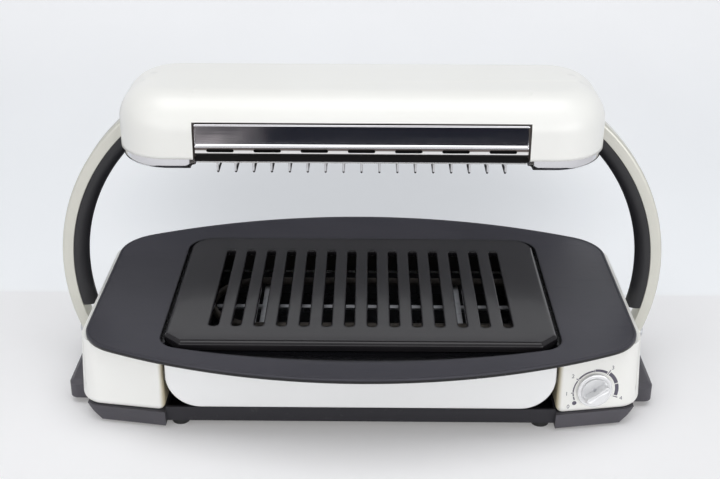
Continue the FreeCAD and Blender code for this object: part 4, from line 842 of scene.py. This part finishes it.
def makeCover():
    # a wall that goes straight up and over a quarter round, from its own lower edge at every station
    plan = coverSections()
    rounding, straight = head["round"], head["high"] - head["round"] - head["low"]
    low = coverLow(plan)
    start = np.where(low < head["high"] - rounding, low - head["low"],
                     straight + rounding * np.arcsin(np.clip((low - head["high"] + rounding) / rounding, 0, 1)))
    end = straight + rounding * math.pi / 2
    rows = []
    for share in np.linspace(0, 1, 26):
        reach = start + (end - start) * share
        turn = np.clip((reach - straight) / rounding, 0, math.pi / 2)
        inset = rounding - rounding * np.cos(turn)
        z = head["low"] + np.minimum(reach, straight) + rounding * np.sin(turn)
        rows.append(np.column_stack([plan[:, 0] - plan[:, 2] * inset, plan[:, 1] - plan[:, 3] * inset, z]))
    # its finish paints the shadow in the gap round the front panel
    buildPiece("headCover", "arch", "ivory_plastic", [sheet(np.stack(rows)), disc(rows[-1])],
               ["head_cover"], ivoryPlastic("coverPlastic", "gapShadowed edge"), sharp=50, wall=head["wall"])


panel = {"half": 139.8, "face": 64.4, "top": 266.6, "bead": 247.2, "beadRound": 1.55, "low": 238.6,
         "lip": [[1.4, 0], [0.5, -0.3], [0.1, -0.9], [0, -1.6], [0, -1.8]],
         "neck": [[0, 2.4], [0, 2.2], [-0.1, 1.7]], "hem": [[0.7, 0.5], [1.2, 0], [3.0, 0]],
         "vents": 7, "ventLevel": 243.4, "ventPitch": 39.5, "ventHalf": 11.5, "ventRadius": 1.5, "ventEdge": 0.25,
         "ventDeep": 0.9, "bandHalf": 2.2, "bandLean": 0.25, "endIn": [0, 0.1, 0.4, 1.2],
         "endBack": [1.2, 0.5, 0.12, 0]}


def makePanel():
    # folded strip: face, bead, vent band and a hem at the foot, with its ends turned back
    face, bead, lean, half = -panel["face"], panel["bead"], panel["bandLean"], panel["half"]
    level, pitch, bandHalf = panel["ventLevel"], panel["ventPitch"], panel["bandHalf"]
    bandTop, bandFoot = level + bandHalf, level - bandHalf
    profile = np.concatenate([np.array(panel["lip"]) + [face, panel["top"]], np.array(panel["neck"]) + [face, bead],
                              arc(face + 0.1, bead, panel["beadRound"], 112, 262, 12),
                              [[face - 0.1, bead - panel["beadRound"]], [face, bandTop]]])
    foot = np.concatenate([[[face + lean, bandFoot]], np.array(panel["hem"]) + [face, panel["low"]]])
    # two flat stations close together at either end keep the mirror flat between them
    fromEnd = np.append(panel["endIn"], panel["endIn"][-1] + np.array([0.4, 0.8]))
    shift = np.append(panel["endBack"], [0, 0])
    xs, back = np.append(fromEnd - half, half - fromEnd[::-1]), np.append(shift, shift[::-1])
    parts = [sheet(np.stack([np.column_stack([np.full(len(section), x), section[:, 0] + away, section[:, 1]])
                             for x, away in zip(xs, back)]), wrapColumns=False) for section in (profile, foot)]
    cell = slotCell(bandHalf, pitch / 2, panel["ventRadius"], panel["ventHalf"] - panel["ventRadius"],
                    panel["ventEdge"], panel["ventDeep"], 9, 5)
    slope = lean * (0.5 - cell[..., 0] / (2 * bandHalf))
    for index in range(panel["vents"]):
        middle = (index - (panel["vents"] - 1) / 2) * pitch
        spots = np.stack([cell[..., 1] + middle, face + slope - cell[..., 2], cell[..., 0] + level], -1)
        parts.append(sheet(spots))
    ends = half - np.append(half - pitch * panel["vents"] / 2, panel["endIn"][::-1])
    shifts = face + np.append(0, panel["endBack"][::-1])
    for side in (-1, 1):
        band = np.stack([np.column_stack([ends * side, shifts, np.full(5, bandTop)]),
                         np.column_stack([ends * side, shifts + lean, np.full(5, bandFoot)])])
        parts.append(sheet(band, wrapColumns=False))
    buildPiece("headPanel", "arch", "polished_steel", parts, ["head_front_panel"], panelSteel(), sharp=40)


pan = {"inset": 1.5, "low": 225.5, "high": 235.6, "above": 1.5, "round": 6.0, "floorIn": 16, "mouthX": 141.8,
       "mouthY": 61.8, "mouthFront": 57, "wall": 0.8}


def makePan():
    # polished rim under the cover: straight lip, rounded turn and flat floor up to the mouth
    plan = coverSections()
    keep = ~((plan[:, 1] < -head["deep"] + 0.01) & (abs(plan[:, 0]) < pan["mouthX"]))
    order = np.flatnonzero(keep)
    gap = np.flatnonzero(np.diff(order) > 1)
    plan = plan[np.roll(order, -(gap[0] + 1))]
    inset, rounding, foot = pan["inset"], pan["round"], pan["low"] + pan["round"]
    steps = [(inset, pan["high"] + pan["above"]), (inset, pan["high"]), (inset, foot)]
    steps += [(inset + away, foot - drop) for away, drop in roundEdge(rounding, 10, 90, 9)]
    rows = []
    for away, z in steps + [(pan["floorIn"], pan["low"])]:
        x = plan[:, 0] - plan[:, 2] * away
        y = plan[:, 1] - plan[:, 3] * away
        y = np.where((plan[:, 1] > head["deep"] - 0.01), np.maximum(y, pan["mouthY"]), y)
        rows.append(np.column_stack([x, y, np.full(len(x), z)]))
    last = rows[-1]
    floor = last.copy()
    inEnd = abs(last[:, 0]) > pan["mouthX"]
    floor[:, 0] = np.where(inEnd, np.sign(last[:, 0]) * pan["mouthX"], last[:, 0])
    floor[:, 1] = np.where(inEnd, np.clip(last[:, 1], -pan["mouthFront"], pan["mouthY"]), last[:, 1])
    parts = [sheet(np.stack(rows + [floor]), wrapColumns=False)]
    buildPiece("headPan", "arch", "polished_steel", parts, ["head_pan"], sharp=40, wall=pan["wall"])


def tube(path, radius, sides=10):
    # a round section carried along a path, with flat ends
    ahead = np.gradient(path, axis=0)
    ahead /= np.linalg.norm(ahead, axis=1)[:, None]
    side = np.cross(ahead, [0.013, 0.021, 1.0] if abs(ahead[:, 2]).max() < 0.9 else [1.0, 0.013, 0.021])
    side /= np.linalg.norm(side, axis=1)[:, None]
    up = np.cross(side, ahead)
    turn = np.radians(np.arange(sides) * 360 / sides)
    return closedTube(path[:, None] + radius * (side[:, None] * np.cos(turn)[:, None]
                                                + up[:, None] * np.sin(turn)[:, None]))


def closedTube(rings):
    # the skin over a row of closed rings, with a flat face over the first and the last
    return [sheet(rings), disc(rings[0]), disc(rings[-1])]


guard = {"wires": 17, "pitch": 15.2, "radius": 0.95, "level": 222.6, "reach": 60, "top": 231.9, "bend": 2.6,
         "cross": 26}


def makeGuard():
    # level wires from front to back with their ends bent up, and two cross wires over them
    parts = []
    reach, level, bend = guard["reach"], guard["level"], guard["bend"]
    front = np.concatenate([[[-reach, guard["top"]]], arc(-reach + bend, level + bend, bend, 180, 270, 8)])
    side = np.concatenate([front, -front[::-1] * [1, -1]])
    for index in range(guard["wires"]):
        x = (index - (guard["wires"] - 1) / 2) * guard["pitch"]
        parts += tube(np.column_stack([np.full(len(side), x), side]), guard["radius"])
    span = guard["pitch"] * (guard["wires"] - 1) / 2 + 3
    for y in (-guard["cross"], guard["cross"]):
        height = level + 2 * guard["radius"]
        parts += tube(np.array([[-span, y, height], [0, y, height], [span, y, height]]), guard["radius"])
    buildPiece("guardWires", "arch", "polished_steel", parts, ["guard_grille"], guardWire(), sharp=50)


arm = {"centreX": 87.5, "centreZ": 108.6, "outer": 188.98, "parting": 178.4, "inner": 165.6, "half": 9.5, "edge": 3,
       "innerEdge": 0.5, "eye": 13, "eyeX": 252, "eyeLong": 11.6, "eyeEdge": [[1.2, 0], [0.35, 0.35], [0, 1.2]],
       "pivotZ": 40, "pin": 4.06, "headX": 190, "headIn": 4, "gripLow": 68, "gripHigh": 234.5, "gripUnder": 0.1}


def swept(section, low, high, side, steps=120):
    # a section of (distance from the arm's centre, y) turned from low to high; both may differ by point
    share = np.linspace(0, 1, steps)[:, None]
    turn = low + (high - low) * share
    x = (arm["centreX"] + section[:, 0] * np.cos(turn)) * side
    z = arm["centreZ"] + section[:, 0] * np.sin(turn)
    return closedTube(np.stack([x, np.broadcast_to(section[:, 1], x.shape), z], -1))


def turned(profile, count=48):
    # a profile of (radius, height) turned round Z; rings run from the first point to the last
    turn = np.radians(np.arange(count) * 360 / count)
    x = profile[:, 0][:, None] * np.cos(turn)
    y = profile[:, 0][:, None] * np.sin(turn)
    return np.stack([x, y, np.broadcast_to(profile[:, 1][:, None], x.shape)], -1)


def makeArms():
    # the satin band with its eye round the pivot pin, and the black half-round lining inside it
    outer, parting, half, edge, small = (arm[key] for key in ("outer", "parting", "half", "edge", "innerEdge"))
    band = np.concatenate([arc(outer - edge, half - edge, edge, 0, 90, 7),
                           arc(parting + small, half - small, small, 90, 180, 4),
                           arc(parting + small, -half + small, small, 180, 270, 4),
                           arc(outer - edge, -half + edge, edge, 270, 360, 7)])
    low = math.asin((arm["pivotZ"] - arm["centreZ"]) / ((outer + parting) / 2))
    high = np.arccos(np.clip((arm["headX"] + arm["headIn"] - arm["centreX"]) / band[:, 0], -1, 1))
    flat = parting - arm["gripUnder"]
    lining = np.concatenate([arc(arm["inner"] + half, 0, half, 90, 270, 22), [[flat, -half], [flat, half]]])
    gripLow, gripHigh = (np.arcsin((arm[key] - arm["centreZ"]) / lining[:, 0])
                         for key in ("gripLow", "gripHigh"))
    rounded = np.array(arm["eyeEdge"]) * [-1, 1] + [arm["eye"], 0]
    far = rounded[::-1] * [1, -1] + [0, arm["eyeLong"]]
    eye = turned(np.concatenate([[[arm["pin"], 0]], rounded, far, [[arm["pin"], arm["eyeLong"]]]]))
    for name, side in (("left", -1), ("right", 1)):
        eyeSpots = np.stack([(arm["eyeX"] + eye[..., 2]) * side, eye[..., 0], arm["pivotZ"] + eye[..., 1]], -1)
        parts = swept(band, np.full(len(band), low), high, side)
        parts.append(sheet(eyeSpots, wrapRows=True))
        buildPiece(f"armBand.{name}", "arch", "satin_band", parts, [f"arm_band_{name}"], sharp=45)
        buildPiece(f"armGrip.{name}", "arch", "black_grip", swept(lining, gripLow, gripHigh, side, 80),
                   [f"arm_grip_{name}"], sharp=50, edge=0.8)


drawerFace = {"half": 169.3, "low": 22.8, "high": 73.0, "face": -114.6, "back": -111.6, "backEdge": 0.3,
              "backFlat": 3.0, "corner": 30, "edge": 2.6, "faceRings": (6.0, 14.0)}


def drawerLoop(inset):
    # front outline seen along Y: straight top, rounded lower corners
    half, low, high = drawerFace["half"] - inset, drawerFace["low"] + inset, drawerFace["high"] - inset
    corner = drawerFace["corner"] - inset
    return np.concatenate([arc(corner - half, low + corner, corner, 180, 270, 20),
                           line((corner - half, low), (half - corner, low), 30)[1:-1],
                           arc(half - corner, low + corner, corner, 270, 360, 20),
                           line((half, low + corner), (half, high), 8)[1:],
                           line((half, high), (-half, high), 40)[1:-1],
                           line((-half, high), (-half, low + corner), 8)[:-1]])


def makeDrawer():
    # rings of the outline: from the back edge round to the flat face
    face, back, edge, backEdge = (drawerFace[key] for key in ("face", "back", "edge", "backEdge"))
    steps = [(drawerFace["backFlat"], back), (backEdge, back), (0.0, back - backEdge)]
    steps += [(inset, face + edge - rise) for inset, rise in roundEdge(edge, 8, 90, 9)]
    steps += [(inset, face) for inset in drawerFace["faceRings"]]
    rings = []
    for inset, y in steps:
        loop = drawerLoop(inset)
        rings.append(np.column_stack([loop[:, 0], np.full(len(loop), y), loop[:, 1]]))
    parts = [sheet(np.stack(rings)), disc(rings[-1]), disc(rings[0])]
    buildPiece("drawerFront", "drawer", "white_enamel", parts, ["drawer_front"], sharp=50)


dial = {"spot": (204, -106.98, 39.5), "normal": (0.161535, -0.985742, 0.047106), "radius": 18.7, "ink": 0.06,
        "under": -0.05, "shift": (0.5, -1.4), "dot": 2.0, "dotClock": 239, "dotAway": 20.6, "digit": 5.244,
        "arcs": ((1.1, 247, 257), (1.1, 259, 266), (1.2, 271, 305), (1.5, 311, 355), (2.3, 359, 392),
                 (3.3, 399, 433), (3.3, 435.5, 467)),
        "ticks": ((268.5, 2.8), (308, 3.2), (357, 2.4), (395.5, 5.0), (471, 4.6)), "tickHalf": 1.1,
        "tickIn": 0.3,
        "figures": (("0", 239, 8.2), ("1", 268, 6.4), ("2", 308, 7.0), ("3", 396, 7.6), ("4", 471, 7.8))}


def onDial(points):
    # (right, up, out) on the block's leaning face to places in the frame
    out = np.array(dial["normal"])
    up = np.array([0, 0, 1]) - out[2] * out
    up /= np.linalg.norm(up)
    return np.array(dial["spot"]) + points @ np.stack([np.cross(up, out), up, out])


def clockSpot(clock, away):
    # right and up of a place at a clock angle, from the printed ring's own middle
    return away * np.sin(clock) + dial["shift"][0], away * np.cos(clock) + dial["shift"][1]


def clockArc(radius, width, start, end):
    # a raised printed line along a circle, between two clock angles
    turn = np.radians(np.linspace(start, end, max(3, int(abs(end - start) / 4) + 2)))[:, None]
    across = radius + np.array([-0.5, -0.5, 0.5, 0.5]) * width
    high = np.broadcast_to([dial["under"], dial["ink"], dial["ink"], dial["under"]], (len(turn), 4))
    return closedTube(onDial(np.stack([*clockSpot(turn, across), high], -1)))


def digitPart(text, clock, radius):
    # a figure of the dial, filled flat and laid on the face
    curve = bpy.data.curves.new("figure", "FONT")
    curve.body = text
    curve.size = dial["digit"]
    curve.align_x = curve.align_y = "CENTER"
    curve.extrude = dial["ink"]
    holder = linked("figure", curve)
    mesh = bpy.data.meshes.new_from_object(holder.evaluated_get(bpy.context.evaluated_depsgraph_get()))
    mesh.calc_loop_triangles()
    spots = np.zeros(len(mesh.vertices) * 3)
    mesh.vertices.foreach_get("co", spots)
    corners = np.zeros(len(mesh.loop_triangles) * 3, int)
    mesh.loop_triangles.foreach_get("vertices", corners)
    bpy.data.objects.remove(holder)
    return onDial(spots.reshape(-1, 3) + [*clockSpot(math.radians(clock), radius), 0]), corners.reshape(-1, 3)


def makeDial():
    # a dot at off, then a line that grows thicker with the heat, ticks and figures
    radius, under, ink = dial["radius"], dial["under"], dial["ink"]
    spin = turned(np.array([[0.01, under], [dial["dot"], under], [dial["dot"], ink], [0.01, ink]]), 24)
    spin[..., :2] += clockSpot(math.radians(dial["dotClock"]), dial["dotAway"])
    parts = [sheet(onDial(spin))]
    for width, start, end in dial["arcs"]:
        parts += clockArc(radius + width / 2, width, start, end)
    for clock, reach in dial["ticks"]:
        parts += clockArc(radius + reach / 2 - dial["tickIn"], reach, clock - dial["tickHalf"],
                          clock + dial["tickHalf"])
    for text, clock, away in dial["figures"]:
        parts.append(digitPart(text, clock, radius + away))
    buildPiece("dialMarks", "base", "black_plastic", parts, finish=dialInk(), sharp=30)


knob = {"skirt": [[4, 0.6], [15.1, 0.6], [15.65, 1.0], [15.8, 1.4], [15.8, 2.5], [15.55, 3.15], [15.0, 3.45],
                  [14.5, 3.5]],
        "disc": [[13.35, 3.48], [13.1, 3.15], [12.75, 3.2], [12.6, 3.6], [12.55, 4.6], [12.25, 5.0], [11.7, 4.95],
                 [10.1, 4.65], [6, 4.4], [0.01, 4.35]],
        "ribs": 72, "ribDeep": 0.009, "sides": 288, "barHalf": 11.8, "barWide": 2.9, "barRound": 3.0,
        "waist": 0.16, "barFoot": 3.5, "top": 12.0, "turn": 32,
        "barEdge": [(0.1, -2.4), (0.2, -1.2), (0.32, -0.5), (0.55, -0.1), (0.85, 0), (1.3, -0.12), (1.8, -0.3)]}


def makeKnob():
    # a turned skirt with fine ribs on its side, a dished disc, and a grip bar drawn in at its waist
    spin = turned(np.array(knob["skirt"] + knob["disc"]), knob["sides"])
    wave = np.cos(np.arange(knob["sides"]) * 2 * math.pi * knob["ribs"] / knob["sides"])
    spin[3:5, :, :2] *= (1 - knob["ribDeep"] * (0.5 + 0.5 * wave))[None, :, None]
    tilt = math.radians(knob["turn"])
    bar = roundedLoop(knob["barHalf"], knob["barWide"], knob["barRound"], (24, 7, 6))
    bar[:, 1] *= 1 - knob["waist"] * (1 - np.minimum(1, abs(bar[:, 0]) / knob["barHalf"]) ** 2)
    # each point moves inwards mostly across the bar
    flatter = np.array([0.35, 1])
    away = bar / np.maximum(np.linalg.norm(bar * flatter, axis=1), 1e-6)[:, None] * flatter
    rings = []
    for inset, z in [(0, knob["barFoot"])] + [(inset, knob["top"] + drop) for inset, drop in knob["barEdge"]]:
        x, y = (bar - away * inset).T
        rings.append(np.column_stack([x * math.cos(tilt) - y * math.sin(tilt),
                                      x * math.sin(tilt) + y * math.cos(tilt), np.full(len(bar), z)]))
    parts = [sheet(spin), sheet(np.stack(rings)), disc(rings[-1])]
    parts = [(onDial(spots), faces) for spots, faces in parts]
    buildPiece("knobDial", "knob", "knob_silver", parts, ["control_knob"], sharp=40)


rubberFoot = {"x": 160, "y": 99,
              "profile": [[0.001, 1.0], [3.001, 1.0], [3.501, 0.5], [4.001, 0], [7.101, 0],
                          [7.701, 0.35], [8.001, 1.0], [8.001, 5.6], [7.701, 6.2], [7.401, 6.6],
                          [0.001, 6.6]]}


def makeFeet():
    # low round discs with a shallow recess below
    spin = turned(np.array(rubberFoot["profile"]), 40)
    parts = [sheet(spin + [x, y, 0]) for x in (-rubberFoot["x"], rubberFoot["x"])
             for y in (-rubberFoot["y"], rubberFoot["y"])]
    buildPiece("rubberFeet", "base", "rubber", parts, ["rubber_feet"], sharp=40)


screw = {"radius": 3.1, "high": 1.5, "round": 0.86, "cross": 0.62, "reach": 1.9, "deep": 1.1,
         "rear": ((-150, 34), (-150, 64), (150, 34), (150, 64), (0, 34)), "rearY": 110.0,
         "under": (-120, 0, 120), "underY": 88, "underZ": 6.6,
         "block": (-205, 205), "blockY": 60, "blockZ": 3.0, "blockSize": 1.2, "pivotAway": 2.3, "pivotSize": 1.6}


def screwHead(place, right, up, scale=1.0):
    # a low dome on a polar grid, pressed in where either arm of the cross runs
    rings = np.linspace(0, 1, 15)[:, None]
    turn = np.radians(np.arange(64) * 360 / 64)
    x, y = screw["radius"] * rings * np.cos(turn), screw["radius"] * rings * np.sin(turn)
    dome = screw["high"] * np.sqrt(np.maximum(0, 1 - screw["round"] * rings ** 2)) + 0 * x
    dome[-1] = 0
    wide, long = screw["cross"], screw["reach"]
    cross = ((abs(x) < wide) & (abs(y) < long)) | ((abs(y) < wide) & (abs(x) < long))
    spots = np.stack([x, y, np.where(cross, dome - screw["deep"], dome)], -1) * scale
    return sheet(spots @ np.stack([right, up, np.cross(right, up)]) + place)


def makeScrews():
    east, north, high = np.eye(3)
    rear = [screwHead((x, screw["rearY"], z), -east, high) for x, z in screw["rear"]]
    buildPiece("rearScrews", "base", "zinc_steel", rear, sharp=30)
    under = [screwHead((x, y, screw["underZ"]), east, -north) for x in screw["under"]
             for y in (-screw["underY"], screw["underY"])]
    under += [screwHead((x, y, screw["blockZ"]), east, -north, screw["blockSize"]) for x in screw["block"]
              for y in (-screw["blockY"], screw["blockY"])]
    buildPiece("baseScrews", "base", "zinc_steel", under, sharp=30)
    eye = arm["eyeX"] + arm["eyeLong"] + screw["pivotAway"]
    caps = [screwHead((eye * side, 0, arm["pivotZ"]), north * side, high, screw["pivotSize"])
            for side in (-1, 1)]
    buildPiece("pivotScrews", "base", "zinc_steel", caps, sharp=30)


endBlock = {"inner": 171.5, "outer": 249.0, "front": 113.4, "splay": 12.7, "draft": 2.7, "foot": 16.6,
            "corner": 22.0, "low": 36.0, "high": 79.4, "levels": 9, "wall": 1.2, "under": 0.25,
            "turnFrom": 0.02, "turnTo": 0.98, "stations": 25}
# the blocks' plastic: a copy painted lighter to stand in for the light that the surround's overhang keeps from
# them, with painted warm shade on the sides that face the drawer
blockPlastic = ivoryPlastic("blockPlastic", "warmShade side", 0.05)


def makeBlockCorners():
    # the leaning, rounded outer corners of both blocks, as a wall close under the skin:
    # point = axis(z) + radius * unit, the unit turning from the front's normal to the side's
    lean, foot, corner = math.radians(endBlock["draft"]), endBlock["foot"], endBlock["corner"]
    splay = math.atan(endBlock["splay"] / (endBlock["outer"] - endBlock["inner"]))
    front = np.array([math.sin(splay) * math.cos(lean), -math.cos(splay) * math.cos(lean), math.sin(lean)])
    side = np.array([math.cos(lean), 0, math.sin(lean)])
    along = np.cross(front, side)
    along /= along[2]
    start = np.linalg.solve([front, side, [0, 0, 1]],
                            [front @ [endBlock["inner"], -endBlock["front"], foot] - corner,
                             side @ [endBlock["outer"], 0, foot] - corner, foot])
    between = math.acos(front @ side)
    share = np.linspace(endBlock["turnFrom"], endBlock["turnTo"], endBlock["stations"])[:, None]
    units = (front * np.sin((1 - share) * between) + side * np.sin(share * between)) / math.sin(between)
    outer = corner - endBlock["under"]
    loop = np.concatenate([outer * units, (outer - endBlock["wall"]) * units[::-1]])
    levels = np.linspace(endBlock["low"], endBlock["high"], endBlock["levels"])[:, None, None]
    rings = start + along * (levels - loop[None, :, 2:] - foot) + loop
    parts = []
    for mirror in ([1, 1, 1], [1, -1, 1], [-1, 1, 1], [-1, -1, 1]):
        parts += closedTube(rings * mirror)
    buildPiece("blockCorners", "base", "ivory_plastic", parts, finish=blockPlastic, sharp=40)


def dressTheRest():
    # CAD pieces whose own form is right: the name in the scene, the body and the width of the broken edge
    for side in ("left", "right"):
        dressCopy(f"endBlock.{side}", f"end_block_{side}", "base", 0.7, blockPlastic)
        dressCopy(f"pivotPin.{side}", f"pivot_pin_{side}", "base", 0.4)
        dressCopy(f"drawerRail.{side}", f"drawer_rail_{side}", "base", 0.2)
    dressCopy("baseChassis", "base_chassis", "base", 0.6)
    dressCopy("rearPanel", "rear_panel", "base", 0.6)
    dressCopy("dripTray", "drip_tray", "drawer", 0.3)
    dressCopy("powerInlet", "power_inlet", "base", 0.4)


makeDrawer()
makeDial()
makeKnob()
makeFeet()
makeScrews()
makeBlockCorners()
dressTheRest()
print("base, drawer and dial made")
makeCover()
makePanel()
makePan()
makeGuard()
makeArms()
print("head and arms made")
